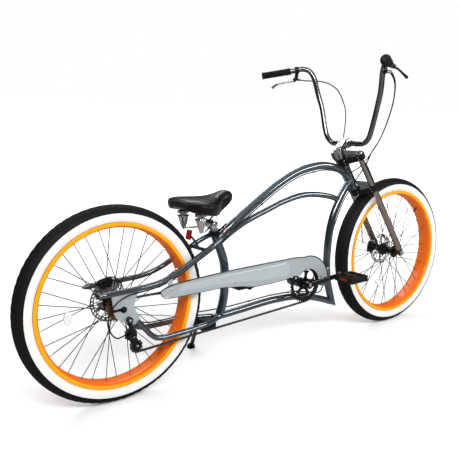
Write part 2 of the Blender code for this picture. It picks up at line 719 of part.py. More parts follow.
def rear_triangle(frame, cutters):
    """Twin seat stays, twin chain stays, dropout plates, and the bridge with its reflector."""
    seat_stay = [
        (-0.0800, 0.0705, 0.4000),
        (-0.0100, 0.0705, 0.4025),
        (0.0580, 0.0700, 0.4040),
        (0.1400, 0.0640, 0.4090),
        (0.2000, 0.0590, 0.4250),
        (0.2500, 0.0560, 0.4465),
        (0.3000, 0.0550, 0.4710),
        (0.3440, 0.0540, 0.4925),
        (0.3960, 0.0480, 0.5165),
        (0.4340, 0.0310, 0.5340),
        (0.4680, 0.0080, 0.5470),
    ]
    chain_stay = [
        (0.0480, 0.0705, 0.2930),
        (0.0780, 0.0705, 0.2590),
        (0.1020, 0.0705, 0.2310),
        (0.1340, 0.0685, 0.2140),
        (0.2000, 0.0640, 0.2120),
        (0.2800, 0.0580, 0.2135),
        (0.3400, 0.0480, 0.2150),
        (0.4100, 0.0180, 0.2155),
    ]
    outline = [
        (-0.0400, 0.4010),
        (0.0640, 0.4040),
        (0.0460, 0.3760),
        (0.0400, 0.3470),
        (0.0540, 0.3100),
        (0.0660, 0.2860),
        (0.0400, 0.2840),
        (0.0060, 0.2940),
        (-0.0280, 0.3180),
        (-0.0340, 0.3350),
    ]
    stay_cutters = {}
    for side, points, legs in (
        ("left", seat_stay, chain_stay),
        ("right", mirrored(seat_stay), mirrored(chain_stay)),
    ):
        sign = 1.0 if side == "left" else -1.0
        route = smooth_route(placed(points), 0.045)
        bm = bmesh.new()
        sweep(bm, route, STAY_RADIUS, 10)
        stay = piece("seat_stay_" + side, bm, frame, "frame_grey")
        for name in ("seat", "top", "arch"):
            combine(stay, cutters[name], "DIFFERENCE")
        cutter_bm = bmesh.new()
        sweep(cutter_bm, lengthened(route, GAP), STAY_RADIUS + GAP, 10)
        stay_cutter = hidden("seat_stay_cutter_" + side, cutter_bm, frame)

        leg_route = smooth_route(placed(legs), 0.035)
        bm = bmesh.new()
        sweep(bm, leg_route, STAY_RADIUS, 10)
        leg = piece("chain_stay_" + side, bm, frame, "frame_grey")
        combine(leg, cutters["lower"], "DIFFERENCE")
        cutter_bm = bmesh.new()
        sweep(cutter_bm, lengthened(leg_route, GAP), STAY_RADIUS + GAP, 10)
        leg_cutter = hidden("chain_stay_cutter_" + side, cutter_bm, frame)

        bm = bmesh.new()
        y = sign * DROPOUT_Y
        plate(bm, outline_placed(outline), y - DROPOUT_THICKNESS / 2.0, y + DROPOUT_THICKNESS / 2.0)
        dropout = piece("dropout_" + side, bm, frame, "guard_silver")
        bm = bmesh.new()
        slot_half = AXLE_RADIUS + GAP
        box(bm, (-0.08, y - 0.02, HUB_Z - slot_half), (0.012, y + 0.02, HUB_Z + slot_half))
        slot = hidden("axle_slot_" + side, bm, frame)
        combine(dropout, slot, "DIFFERENCE")
        combine(dropout, stay_cutter, "DIFFERENCE")
        combine(dropout, leg_cutter, "DIFFERENCE")
        stay_cutters[side] = (stay_cutter, leg_cutter)

    bm = bmesh.new()
    left_end = place(0.3440, 0.0540, 0.4925)
    right_end = place(0.3440, -0.0540, 0.4925)
    rod(bm, left_end, right_end, BRIDGE_RADIUS, 10)
    bridge = piece("stay_bridge", bm, frame, "frame_grey")
    bm = bmesh.new()
    arm = [place(0.3440, 0.0, 0.4925), place(0.3300, 0.0, 0.5180), place(0.3040, 0.0, 0.5486)]
    sweep(bm, arm, 0.0045, 6)
    combine(bridge, hidden("reflector_arm_to_join", bm, frame), "UNION")
    for side in ("left", "right"):
        combine(bridge, stay_cutters[side][0], "DIFFERENCE")
    bm = bmesh.new()
    reflector_back = place(0.3060, 0.0, 0.5470)
    facing = Vector((-0.97, 0.0, 0.24))
    sweep(bm, [reflector_back, reflector_back + facing * 0.007, reflector_back + facing * 0.009], [0.019, 0.019, 0.016], 14)
    reflector = piece("rear_reflector", bm, frame, "red_plastic")
    bm = bmesh.new()
    sweep(bm, lengthened(arm, GAP), 0.0045 + GAP, 6)
    combine(reflector, hidden("reflector_arm_cutter", bm, frame), "DIFFERENCE")
    return stay_cutters


def fork(steering):
    """Steerer, crowns, legs, stem, and the bar with grips and levers."""
    centre = STEER_FOOT
    bm = bmesh.new()
    rod(bm, steer_point(0, 0, HEAD_BOTTOM - CUP_HEIGHT - CROWN_THICKNESS), steer_point(0, 0, STEM_HEIGHT), STEERER_RADIUS, 16)
    piece("steerer", bm, steering, "chrome", centre)

    bore_bm = bmesh.new()
    rod(bore_bm, steer_point(0, 0, 0.3), steer_point(0, 0, 0.7), STEERER_RADIUS + GAP, 16)
    steerer_bore = hidden("steerer_bore", bore_bm, steering, centre)
    leg_bores = []
    for side, y in (("left", LEG_Y), ("right", -LEG_Y)):
        bore_bm = bmesh.new()
        rod(bore_bm, steer_point(FORK_OFFSET, y, 0.2), steer_point(FORK_OFFSET, y, 0.7), LEG_RADIUS + GAP, 16)
        leg_bores.append(hidden("leg_bore_" + side, bore_bm, steering, centre))

    for label, low in (("lower", LOWER_CROWN_TOP - CROWN_THICKNESS), ("upper", UPPER_CROWN_BOTTOM)):
        bm = bmesh.new()
        bosses = (
            (0.0, 0.0, CROWN_BOSS_RADIUS),
            (FORK_OFFSET, LEG_Y, CROWN_LEG_BOSS_RADIUS),
            (FORK_OFFSET, -LEG_Y, CROWN_LEG_BOSS_RADIUS),
        )
        for fore, y, radius in bosses:
            for k in range(16):
                angle = 2.0 * math.pi * k / 16
                for up in (low, low + CROWN_THICKNESS):
                    spot = steer_point(fore + radius * math.cos(angle), y + radius * math.sin(angle), up)
                    bm.verts.new(spot)
        hull = bmesh.ops.convex_hull(bm, input=bm.verts[:])
        loose = [v for v in bm.verts if not v.link_faces]
        bmesh.ops.delete(bm, geom=loose, context="VERTS")
        crown = piece("fork_crown_" + label, bm, steering, "black_metal", centre)
        for bore in [steerer_bore] + leg_bores:
            combine(crown, bore, "DIFFERENCE")

    for side, y in (("left", LEG_Y), ("right", -LEG_Y)):
        bm = bmesh.new()
        top = UPPER_CROWN_TOP + LEG_PROUD
        route = [steer_point(FORK_OFFSET, y, up) for up in (0.022, top - 0.004, top)]
        sweep(bm, route, [LEG_RADIUS, LEG_RADIUS, LEG_RADIUS - 0.004], 16)
        leg = piece("fork_leg_" + side, bm, steering, "chrome", centre)
        bm = bmesh.new()
        end = []
        for fore, up in ((-0.011, 0.03), (-0.014, 0.0), (-0.008, -0.014), (0.008, -0.014), (0.014, 0.0), (0.011, 0.03)):
            spot = steer_point(FORK_OFFSET + fore, 0.0, up)
            end.append((spot.x, spot.z))
        plate(bm, end, y - 0.005, y + 0.005)
        tip = hidden("fork_end_to_join_" + side, bm, steering, centre)
        combine(leg, tip, "UNION")
        bm = bmesh.new()
        hub = FRONT_HUB
        rod(bm, hub + Vector((0, y - 0.05, 0)), hub + Vector((0, y + 0.05, 0)), AXLE_RADIUS + GAP, 12)
        hole = hidden("front_axle_hole_" + side, bm, steering, centre)
        combine(leg, hole, "DIFFERENCE")
    axle("front", FRONT_HUB, LEG_Y + 0.005, steering, centre)

    clamp = steer_point(STEM_REACH, 0.0, STEM_HEIGHT)
    stem_low = UPPER_CROWN_TOP + GAP
    bm = bmesh.new()
    rod(bm, steer_point(0, 0, stem_low), steer_point(0, 0, STEM_HEIGHT + 0.012), 0.020, 16)
    stem = piece("stem", bm, steering, "chrome", centre)
    bm = bmesh.new()
    rod(bm, clamp + Vector((0, -STEM_HALF_WIDTH, 0)), clamp + Vector((0, STEM_HALF_WIDTH, 0)), 0.0200, 16)
    joined = hidden("bar_clamp_to_join", bm, steering, centre)
    combine(stem, joined, "UNION")
    bm = bmesh.new()
    corners = []
    for fore, up in ((0.0, -0.012), (STEM_REACH, -0.016), (STEM_REACH, 0.016), (0.0, 0.010)):
        spot = steer_point(fore, 0.0, STEM_HEIGHT + up)
        corners.append((spot.x, spot.z))
    plate(bm, corners, -0.018, 0.018)
    joined = hidden("stem_arm_to_join", bm, steering, centre)
    combine(stem, joined, "UNION")
    combine(stem, steerer_bore, "DIFFERENCE")
    half = [
        (0.0, 0.032, 0.0),
        (0.008, 0.070, -0.003),
        (0.016, 0.095, 0.002),
        (0.015, 0.117, 0.020),
        (0.014, 0.133, 0.055),
        (0.016, 0.158, 0.148),
        (0.010, 0.178, 0.210),
        (-0.001, 0.194, 0.280),
        (-0.012, 0.213, 0.313),
        (-0.035, 0.236, 0.323),
        (-0.072, 0.267, 0.315),
        (-0.165, 0.357, 0.297),
    ]
    points = [clamp + Vector((x, -y, z)) for x, y, z in reversed(half)] + [clamp]
    points += [clamp + Vector((x, y, z)) for x, y, z in half]
    bar_path = smooth_route(points, 0.045)
    bm = bmesh.new()
    sweep(bm, bar_path, BAR_RADIUS)
    piece("handlebar", bm, steering, "chrome", centre)

    bm = bmesh.new()
    sweep(bm, lengthened(bar_path, GAP), BAR_RADIUS + GAP)
    bar_cutter = hidden("bar_cutter", bm, steering, centre)
    combine(stem, bar_cutter, "DIFFERENCE")

    for side, held in (("right", bar_path[:GRIP_STEPS]), ("left", bar_path[-GRIP_STEPS:])):
        bm = bmesh.new()
        sweep(bm, lengthened(held, GRIP_END), GRIP_RADIUS)
        grip = piece("grip_" + side, bm, steering, "rubber", centre)
        combine(grip, bar_cutter, "DIFFERENCE")

        sign = 1.0 if side == "left" else -1.0
        bm = bmesh.new()
        ring = [clamp + Vector((x, sign * y, z)) for x, y, z in ((-0.047, 0.2460, 0.3205), (-0.060, 0.2570, 0.3176))]
        sweep(bm, ring, 0.0160, 14)
        lever = piece("brake_lever_" + side, bm, steering, "black_metal", centre)
        bm = bmesh.new()
        reach = [(-0.054, 0.2515, 0.305), (-0.056, 0.2530, 0.284), (-0.072, 0.2600, 0.272)]
        sweep(bm, [clamp + Vector((x, sign * y, z)) for x, y, z in reach], [0.0090, 0.0100, 0.0070], 10)
        combine(lever, hidden("lever_body_to_join_" + side, bm, steering, centre), "UNION")
        bm = bmesh.new()
        reach = [(-0.066, 0.2580, 0.275), (-0.098, 0.2800, 0.266), (-0.124, 0.2950, 0.260), (-0.138, 0.3200, 0.244)]
        sweep(bm, [clamp + Vector((x, sign * y, z)) for x, y, z in reach], [0.0055, 0.0050, 0.0045, 0.0055], 8)
        combine(lever, hidden("lever_blade_to_join_" + side, bm, steering, centre), "UNION")
        combine(lever, bar_cutter, "DIFFERENCE")
    bm = bmesh.new()
    ring = [clamp + Vector(p) for p in ((-0.040, -0.2400, 0.3220), (-0.026, -0.2280, 0.3200))]
    sweep(bm, ring, [SHIFTER_RADIUS, SHIFTER_RADIUS - 0.003], 16)
    shifter = piece("grip_shifter", bm, steering, "black_plastic", centre)
    combine(shifter, bar_cutter, "DIFFERENCE")


def drive(frame, crank, guard_cutters):
    """Chainring, cranks, chain, and guard."""
    bm = bmesh.new()
    outer = RING_PITCH_RADIUS - CHAIN_PIN_HALF - GAP
    y_low = CHAIN_Y - RING_THICKNESS / 2.0
    y_high = CHAIN_Y + RING_THICKNESS / 2.0
    profile = [(SPINDLE_RADIUS + GAP, y_low), (outer, y_low), (outer, y_high), (SPINDLE_RADIUS + GAP, y_high)]
    turned(bm, profile, 32, BB)
    ring = piece("chainring", bm, crank, "black_metal", BB)
    for k in range(5):
        angle = math.radians(CRANK_ANGLE + 36.0 + 72.0 * k)
        spot = BB + Vector((math.cos(angle), 0.0, math.sin(angle))) * 0.043
        bm = bmesh.new()
        rod(bm, spot + Vector((0, CHAIN_Y - 0.02, 0)), spot + Vector((0, CHAIN_Y + 0.02, 0)), 0.019, 12)
        hole = hidden("ring_window_%d" % k, bm, crank, BB)
        combine(ring, hole, "DIFFERENCE")

    bm = bmesh.new()
    rod(bm, BB + Vector((0, -CRANK_INNER_Y + GAP, 0)), BB + Vector((0, CRANK_INNER_Y - GAP, 0)), SPINDLE_RADIUS, 12)
    piece("crank_spindle", bm, crank, "black_metal", BB)

    for side, sign in (("left", 1.0), ("right", -1.0)):
        reach = CRANK_REACH * (-sign)
        inner = sign * CRANK_INNER_Y
        start = BB + Vector((0.0, inner + sign * CRANK_THICKNESS / 2.0, 0.0))
        stop = start + reach * CRANK_LENGTH + Vector((0.0, sign * 0.012, 0.0))
        bm = bmesh.new()
        route = [start + (stop - start) * t for t in (0.0, 0.3, 0.6, 1.0)]
        sweep(bm, route, [0.0130, 0.0115, 0.0105, 0.0100], 10, CRANK_FLATNESS)
        arm = piece("crank_arm_" + side, bm, crank, "black_metal", BB)
        for label, spot, radius in (("boss", start, 0.0165), ("eye", stop, 0.0135)):
            bm = bmesh.new()
            half = Vector((0.0, CRANK_THICKNESS / 2.0, 0.0))
            rod(bm, spot - half, spot + half, radius, 16)
            joined = hidden("crank_%s_to_join_%s" % (label, side), bm, crank, BB)
            combine(arm, joined, "UNION")

    chain(frame)

    round_end = (BB.x + 0.006, BB.z + 0.002)
    under = [(0.1430, 0.3700), (0.1500, 0.3590), (0.1880, 0.3480), (0.3950, 0.3480), (0.4250, 0.3440)]
    under += [(0.4850, 0.3380), (0.5570, 0.3260), (0.6980, 0.3280), (0.7460, 0.3370)]
    outline = outline_placed(under)
    outline += arc(round_end, GUARD_CUTOUT_RADIUS, 138.0, 10.0, 10)
    outline += arc(round_end, GUARD_RADIUS, 6.0, 100.0, 10)
    outline += outline_placed([(0.7000, 0.4095), (0.4250, 0.4060), (0.2120, 0.3960), (0.1470, 0.3810)])
    bm = bmesh.new()
    plate(bm, outline, GUARD_Y - GUARD_THICKNESS / 2.0, GUARD_Y + GUARD_THICKNESS / 2.0)
    guard = piece("chain_guard", bm, frame, "guard_silver")
    bm = bmesh.new()
    rod(bm, place(0.908, GUARD_Y + 0.0005, 0.310), place(1.004, -0.004, 0.322), 0.0045, 8)
    strap = hidden("guard_strap_to_join", bm, frame)
    bm = bmesh.new()
    box(bm, place(0.172, GUARD_Y, 0.372), place(0.192, GUARD_Y + 0.003, 0.422))
    tab = hidden("guard_tab_to_join", bm, frame)
    combine(guard, strap, "UNION")
    combine(guard, tab, "UNION")
    for cutter in guard_cutters:
        combine(guard, cutter, "DIFFERENCE")


def chain_loop():
    """The chain's pitch line as arcs and straights: a list of (point, direction) about one pitch apart."""
    wheels = [
        (Vector((BB.x, BB.z)), RING_PITCH_RADIUS, 1.0),
        (Vector((0.0, HUB_Z)), COG_PITCH_RADIUS, 1.0),
        (Vector(GUIDE_PULLEY), PULLEY_PITCH_RADIUS, -1.0),
        (Vector(TENSION_PULLEY), PULLEY_PITCH_RADIUS, 1.0),
    ]
    tangents = []
    for k, (centre, radius, sense) in enumerate(wheels):
        other, other_radius, other_sense = wheels[(k + 1) % len(wheels)]
        along = other - centre
        distance = along.length
        base = math.atan2(along.y, along.x)
        if sense == other_sense:
            lean = math.asin((radius - other_radius) / distance)
        else:
            lean = math.asin((radius + other_radius) / distance)
        heading = base + sense * lean
        leave = centre + radius * Vector((math.sin(heading), -math.cos(heading))) * sense
        meet = other + other_radius * Vector((math.sin(heading), -math.cos(heading))) * other_sense
        tangents.append((leave, meet))
    pieces = []
    for k, (centre, radius, sense) in enumerate(wheels):
        meet = tangents[k - 1][1] - centre
        leave = tangents[k][0] - centre
        start = math.atan2(meet.y, meet.x)
        stop = math.atan2(leave.y, leave.x)
        turn = (stop - start) * sense % (2.0 * math.pi)
        pieces.append(("arc", centre, radius, start, turn * sense, radius * turn))
        span = tangents[k][1] - tangents[k][0]
        pieces.append(("line", tangents[k][0], span, 0.0, 0.0, span.length))
    return pieces


def chain(frame):
    """The chain as one closed band whose edge swells at each pin."""
    pieces = chain_loop()
    total = sum(p[-1] for p in pieces)
    links = round(total / CHAIN_PITCH)
    step = total / links / 2.0
    samples = []
    for k in range(links * 2):
        left = k * step
        for kind, a, b, start, turn, length in pieces:
            if left <= length:
                break
            left -= length
        if kind == "arc":
            angle = start + turn * left / length
            point = a + b * Vector((math.cos(angle), math.sin(angle)))
            way = Vector((-math.sin(angle), math.cos(angle))) * (1.0 if turn > 0.0 else -1.0)
        else:
            point = a + b * left / length
            way = b.normalized()
        samples.append((point, Vector((-way.y, way.x)), CHAIN_PIN_HALF if k % 2 == 0 else CHAIN_WAIST_HALF))
    bm = bmesh.new()
    rings = []
    for point, out, half in samples:
        ring = []
        for across, y in ((-1, -1), (1, -1), (1, 1), (-1, 1)):
            spot = point + out * half * across
            ring.append(bm.verts.new((spot.x, CHAIN_Y + y * CHAIN_HALF_WIDTH, spot.y)))
        rings.append(ring)
    skin(bm, rings, closed_loop=True)
    piece("chain", bm, frame, "black_metal")


def freewheel(carrier):
    """The toothed cogs on the rear hub; the smallest is smooth, as the chain lies over its teeth."""
    bm = bmesh.new()
    core = 0.020
    bore = 0.012
    small = COG_PITCH_RADIUS - CHAIN_PIN_HALF - GAP
    section = [(bore, -0.0345), (core, -0.0345), (core, -0.0540), (small, -0.0540), (small, -0.0580)]
    section += [(core, -0.0580), (core, -0.0600), (bore, -0.0600)]
    turned(bm, section, 20, REAR_HUB)
    cogs = piece("freewheel", bm, carrier, "cog_bronze", REAR_HUB)
    for teeth, y in ((16, -0.0490), (18, -0.0450), (21, -0.0410), (24, -0.0370)):
        pitch = CHAIN_PITCH / (2.0 * math.sin(math.pi / teeth))
        outline = []
        for k in range(teeth * 2):
            radius = pitch + (0.0020 if k % 2 else -0.0038)
            angle = math.pi * k / teeth
            outline.append((REAR_HUB.x + radius * math.cos(angle), REAR_HUB.z + radius * math.sin(angle)))
        bm = bmesh.new()
        plate(bm, outline, y - COG_THICKNESS / 2.0, y + COG_THICKNESS / 2.0)
        cog = hidden("cog_to_join_%d" % teeth, bm, carrier, REAR_HUB)
        combine(cogs, cog, "UNION")
    bm = bmesh.new()
    rod(bm, REAR_HUB + Vector((0.0, -0.08, 0.0)), REAR_HUB, bore, 16)
    combine(cogs, hidden("freewheel_bore", bm, carrier, REAR_HUB), "DIFFERENCE")


def derailleur(frame):
    """The derailleur: body and links below the right dropout, and a cage of two plates with its pulleys."""
    guide = Vector((GUIDE_PULLEY[0], 0.0, GUIDE_PULLEY[1]))
    tension = Vector((TENSION_PULLEY[0], 0.0, TENSION_PULLEY[1]))
    radius = PULLEY_PITCH_RADIUS - CHAIN_PIN_HALF - GAP
    beside_chain = CHAIN_HALF_WIDTH + 0.0015
    outer = CHAIN_Y - beside_chain - CAGE_PLATE
    inner = CHAIN_Y + beside_chain + CAGE_PLATE
    line = (tension - guide).normalized()
    across = Vector((line.z, 0.0, -line.x))
    corners = [guide - line * 0.014 - across * 0.007, guide - line * 0.014 + across * 0.007]
    corners += [guide + across * 0.011, tension + across * 0.010, tension + line * 0.016 + across * 0.005]
    corners += [tension + line * 0.018 - across * 0.005, tension - across * 0.012, guide - across * 0.011]
    bm = bmesh.new()
    plate(bm, [(c.x, c.z) for c in corners], outer, outer + CAGE_PLATE)
    cage = piece("rear_derailleur", bm, frame, "black_metal")
    bm = bmesh.new()
    plate(bm, [(c.x, c.z) for c in corners], inner - CAGE_PLATE, inner)
    combine(cage, hidden("inner_cage_plate_to_join", bm, frame), "UNION")
    for label, centre in (("guide", guide), ("tension", tension)):
        bm = bmesh.new()
        ends = [Vector((centre.x, y, centre.z)) for y in (outer + 0.0005, inner - 0.0005)]
        rod(bm, ends[0], ends[1], radius, 16)
        combine(cage, hidden("pulley_to_join_" + label, bm, frame), "UNION")
    hanger = place(0.0160, 0.0, 0.3060)
    plate_face = DROPOUT_Y + DROPOUT_THICKNESS / 2.0 + GAP
    bm = bmesh.new()
    rod(bm, Vector((hanger.x, -plate_face, hanger.z)), Vector((hanger.x, -0.090, hanger.z)), 0.0110, 14)
    combine(cage, hidden("hanger_knuckle_to_join", bm, frame), "UNION")
    bm = bmesh.new()
    rod(bm, Vector((guide.x, outer + 0.0005, guide.z)), Vector((guide.x, -0.087, guide.z)), 0.0120, 14)
    combine(cage, hidden("cage_knuckle_to_join", bm, frame), "UNION")
    for label, y in (("near", -0.0800), ("far", -0.0860)):
        bm = bmesh.new()
        sweep(bm, [Vector((hanger.x, y, hanger.z)), Vector((guide.x - 0.008, y, 0.5 * (hanger.z + guide.z))), Vector((guide.x, y, guide.z))], 0.0060, 8)
        combine(cage, hidden("link_to_join_" + label, bm, frame), "UNION")


def pedals(crank, joints):
    """A platform pedal at each crank's eye."""
    for side, sign in (("left", 1.0), ("right", -1.0)):
        centre = BB + CRANK_REACH * (-sign) * CRANK_LENGTH
        centre.y = sign * PEDAL_Y
        carrier = empty("pedal_%s_axis" % side, crank, centre - BB)
        joints["pedal_" + side] = centre.copy()
        near = sign * (PEDAL_Y + GAP)
        far = sign * (PEDAL_Y + 0.006 + PEDAL_SPAN)
        bm = bmesh.new()
        start = Vector((centre.x, near, centre.z))
        stop = Vector((centre.x, far, centre.z))
        rod(bm, start, stop, 0.0075, 10)
        body = piece("pedal_" + side, bm, carrier, "black_plastic", centre)
        bm = bmesh.new()
        low_y = min(far, far - sign * PEDAL_SPAN)
        half = PEDAL_LENGTH / 2.0
        thick = PEDAL_THICKNESS / 2.0
        box(bm, (centre.x - half, low_y, centre.z - thick), (centre.x + half, low_y + PEDAL_SPAN, centre.z + thick))
        joined = hidden("pedal_body_to_join_" + side, bm, carrier, centre)
        combine(body, joined, "UNION")


def seat(frame):
    """Seat post, saddle, its clamp with the wires, and its springs."""
    tube_top = place(0.4106, 0.0, 0.5490)
    way = (tube_top - place(0.4270, 0.0, 0.5050)).normalized()
    top = tube_top + way * 0.044
    bm = bmesh.new()
    rod(bm, tube_top + way * GAP * 2.0, top, POST_RADIUS, 14)
    piece("seat_post", bm, frame, "chrome")

    bm = bmesh.new()
    sections = [
        (0.262, 0.060, 0.672, 0.648),
        (0.272, 0.095, 0.681, 0.640),
        (0.295, 0.124, 0.684, 0.632),
        (0.330, 0.126, 0.683, 0.624),
        (0.365, 0.104, 0.682, 0.620),
        (0.395, 0.070, 0.684, 0.622),
        (0.425, 0.046, 0.691, 0.630),
        (0.455, 0.036, 0.699, 0.642),
        (0.478, 0.026, 0.695, 0.655),
        (0.490, 0.012, 0.683, 0.668),
    ]
    lift = place(0.0, 0.0, 0.0).z
    sections = [(x, half, high + lift, low + lift) for x, half, high, low in sections]
    rings = []
    for x, half, high, low in sections:
        mid = (high + low) / 2.0
        outline = [(0.0, high), (0.55, high - 0.003), (0.90, high - 0.014), (1.0, mid), (0.97, low), (0.0, low + 0.004)]
        ring = [bm.verts.new((x, half * a, z)) for a, z in outline]
        ring += [bm.verts.new((x, -half * a, z)) for a, z in reversed(outline[1:-1])]
        rings.append(ring)
    skin(bm, rings)
    saddle = piece("saddle", bm, frame, "leather")

    hold = top - way * 0.014
    bm = bmesh.new()
    rod(bm, hold + Vector((0, -0.022, 0)), hold + Vector((0, 0.022, 0)), 0.0165, 14)
    clamp = piece("saddle_clamp_and_springs", bm, frame, "chrome")
    wire = 0.0035
    for side, sign in (("left", 1.0), ("right", -1.0)):
        y = sign * SPRING_Y
        bm = bmesh.new()
        route = [(0.393, sign * 0.017, 0.576), (0.360, sign * 0.036, 0.566), (0.334, y, 0.564), (SPRING_X, y, 0.5645)]
        sweep(bm, smooth_route(placed(route), 0.03), wire, 8)
        combine(clamp, hidden("seat_wire_to_join_" + side, bm, frame), "UNION")
        rail = placed([(0.398, sign * 0.017, 0.582), (0.420, sign * 0.015, 0.604), (0.440, sign * 0.012, 0.6400)])
        bm = bmesh.new()
        sweep(bm, rail, wire, 8)
        combine(clamp, hidden("seat_rail_to_join_" + side, bm, frame), "UNION")
        bm = bmesh.new()
        sweep(bm, lengthened(rail, GAP), wire + GAP, 8)
        combine(saddle, hidden("seat_rail_cutter_" + side, bm, frame), "DIFFERENCE")
        bm = bmesh.new()
        levels = [SPRING_BOTTOM_Z, 0.614, SPRING_TOP_Z]
        sweep(bm, placed([(SPRING_X, y, z) for z in levels]), [0.0070, SPRING_TOP_RADIUS, SPRING_TOP_RADIUS], 14)
        combine(clamp, hidden("seat_spring_to_join_" + side, bm, frame), "UNION")
        bm = bmesh.new()
        rod(bm, place(SPRING_X, y, 0.600), place(SPRING_X, y, SPRING_TOP_Z + GAP), SPRING_TOP_RADIUS + 0.001, 14)
        combine(saddle, hidden("seat_spring_cutter_" + side, bm, frame), "DIFFERENCE")
    bm = bmesh.new()
    rod(bm, tube_top - way * 0.01, top + way * GAP, POST_RADIUS + GAP, 14)
    post_bore = hidden("post_bore", bm, frame)
    combine(clamp, post_bore, "DIFFERENCE")


def stand(frame, joints, stay_cutters):
    """Side stand: a lug below the chain stays, its pin, and the leg that folds back about it."""
    pivot = Vector(STAND_PIVOT)
    foot = Vector((STAND_FOOT_X, STAND_FOOT_Y, ground_height(STAND_FOOT_Y)))
    way = (foot - pivot).normalized()
    folded = Vector(STAND_FOLDED).normalized()
    hinge = way.cross(folded).normalized()
    joints["stand_pivot"] = pivot.copy()
    joints["stand_axis"] = hinge.copy()
    carrier = empty("stand_axis", frame, pivot)
    bm = bmesh.new()
    length = (foot - pivot).length
    route = [pivot, pivot + way * 0.05, pivot + way * (length - 0.014)]
    sweep(bm, route, STAND_RADIUS, 10)
    leg = piece("stand_leg", bm, carrier, "black_metal", pivot)
    bm = bmesh.new()
    rod(bm, pivot - hinge * STAND_EYE_HALF, pivot + hinge * STAND_EYE_HALF, STAND_EYE_RADIUS, 14)
    joined = hidden("stand_eye_to_join", bm, carrier, pivot)
    combine(leg, joined, "UNION")
    bm = bmesh.new()
    flat = Matrix.Rotation(math.radians(-PARKING_LEAN), 4, "X")
    up = flat.transposed() @ Vector((0.0, 0.0, 1.0))
    rod(bm, foot, foot + up * 0.016, 0.017, 14)
    joined = hidden("stand_foot_to_join", bm, carrier, pivot)
    combine(leg, joined, "UNION")
    bm = bmesh.new()
    rod(bm, pivot - hinge * 0.05, pivot + hinge * 0.05, STAND_PIN_RADIUS + GAP, 14)
    hole = hidden("stand_pin_hole", bm, carrier, pivot)
    combine(leg, hole, "DIFFERENCE")

    bm = bmesh.new()
    box(bm, (0.345, -0.026, 0.176), (0.398, 0.046, 0.2180))
    lug = piece("stand_bracket", bm, frame, "black_metal")
    bm = bmesh.new()
    face = pivot - hinge * (STAND_EYE_HALF + GAP)
    rod(bm, face, face + hinge * 0.2, 0.15, 16)
    room = hidden("stand_leg_room", bm, frame)
    for cutter in (room,) + stay_cutters:
        combine(lug, cutter, "DIFFERENCE")
    bm = bmesh.new()
    rod(bm, face - hinge * 0.010, pivot + hinge * (STAND_EYE_HALF + 0.003), STAND_PIN_RADIUS, 14)
    pin = hidden("stand_pin_to_join", bm, frame)
    combine(lug, pin, "UNION")


def park(root):
    """Lean the bicycle on its stand and centre its footprint on the origin."""
    root.rotation_euler = (-math.radians(PARKING_LEAN), 0.0, 0.0)
    bpy.context.view_layer.update()
    graph = bpy.context.evaluated_depsgraph_get()
    low = Vector((1e9, 1e9, 1e9))
    high = Vector((-1e9, -1e9, -1e9))
    for made in bpy.data.objects:
        if made.type != "MESH" or made.hide_render:
            continue
        shape = made.evaluated_get(graph)
        for corner in shape.data.vertices:
            spot = shape.matrix_world @ corner.co
            for k in range(3):
                low[k] = min(low[k], spot[k])
                high[k] = max(high[k], spot[k])
    root.location = (-(low.x + high.x) / 2.0, -(low.y + high.y) / 2.0, -low.z)
    bpy.context.view_layer.update()
    return root.matrix_world.copy()


def build():
    """Make every sub-part; returns the joints' places in the bicycle's frame and the parking matrix."""
    clear_scene()
    joints = {}
    root = empty("bicycle")
    frame = root
    rear = empty("rear_wheel_axis", root, REAR_HUB)
    steering = empty("steering_axis", root, STEER_FOOT)
    front = empty("front_wheel_axis", steering, FRONT_HUB - STEER_FOOT)
    crank = empty("crank_axis", root, BB)
    joints["rear_hub"] = REAR_HUB.copy()
    joints["front_hub"] = FRONT_HUB.copy()
    joints["steer_foot"] = STEER_FOOT.copy()
    joints["steer_axis"] = AXIS_UP.copy()
    joints["bb"] = BB.copy()
    cutters = frame_tubes(frame)
    stay_cutters = rear_triangle(frame, cutters)
    axle("rear", REAR_HUB, DROPOUT_Y + DROPOUT_THICKNESS / 2.0, frame)
    rear_hub = wheel("rear", REAR_HUB, REAR_FLANGE_Y, REAR_HUB_HALF, rear)
    rotor("rear_rotor", REAR_HUB, REAR_ROTOR_Y, REAR_HUB_HALF - 0.001, rear, rear_hub)
    freewheel(rear)
    wheel("front", FRONT_HUB, FRONT_FLANGE_Y, FRONT_HUB_HALF, front)
    rotor("front_rotor", FRONT_HUB, FRONT_ROTOR_Y, FRONT_HUB_HALF + GAP, front)
    fork(steering)
    drive(frame, crank, (cutters["down"], stay_cutters["right"][0]))
    derailleur(frame)
    pedals(crank, joints)
    seat(frame)
    stand(frame, joints, (stay_cutters["left"][1], stay_cutters["right"][1]))
    matrix = park(root)
    return joints, matrix


if __name__ == "__main__":
    build()
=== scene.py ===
import json
import math

import bmesh
import bpy
from mathutils import Matrix, Vector

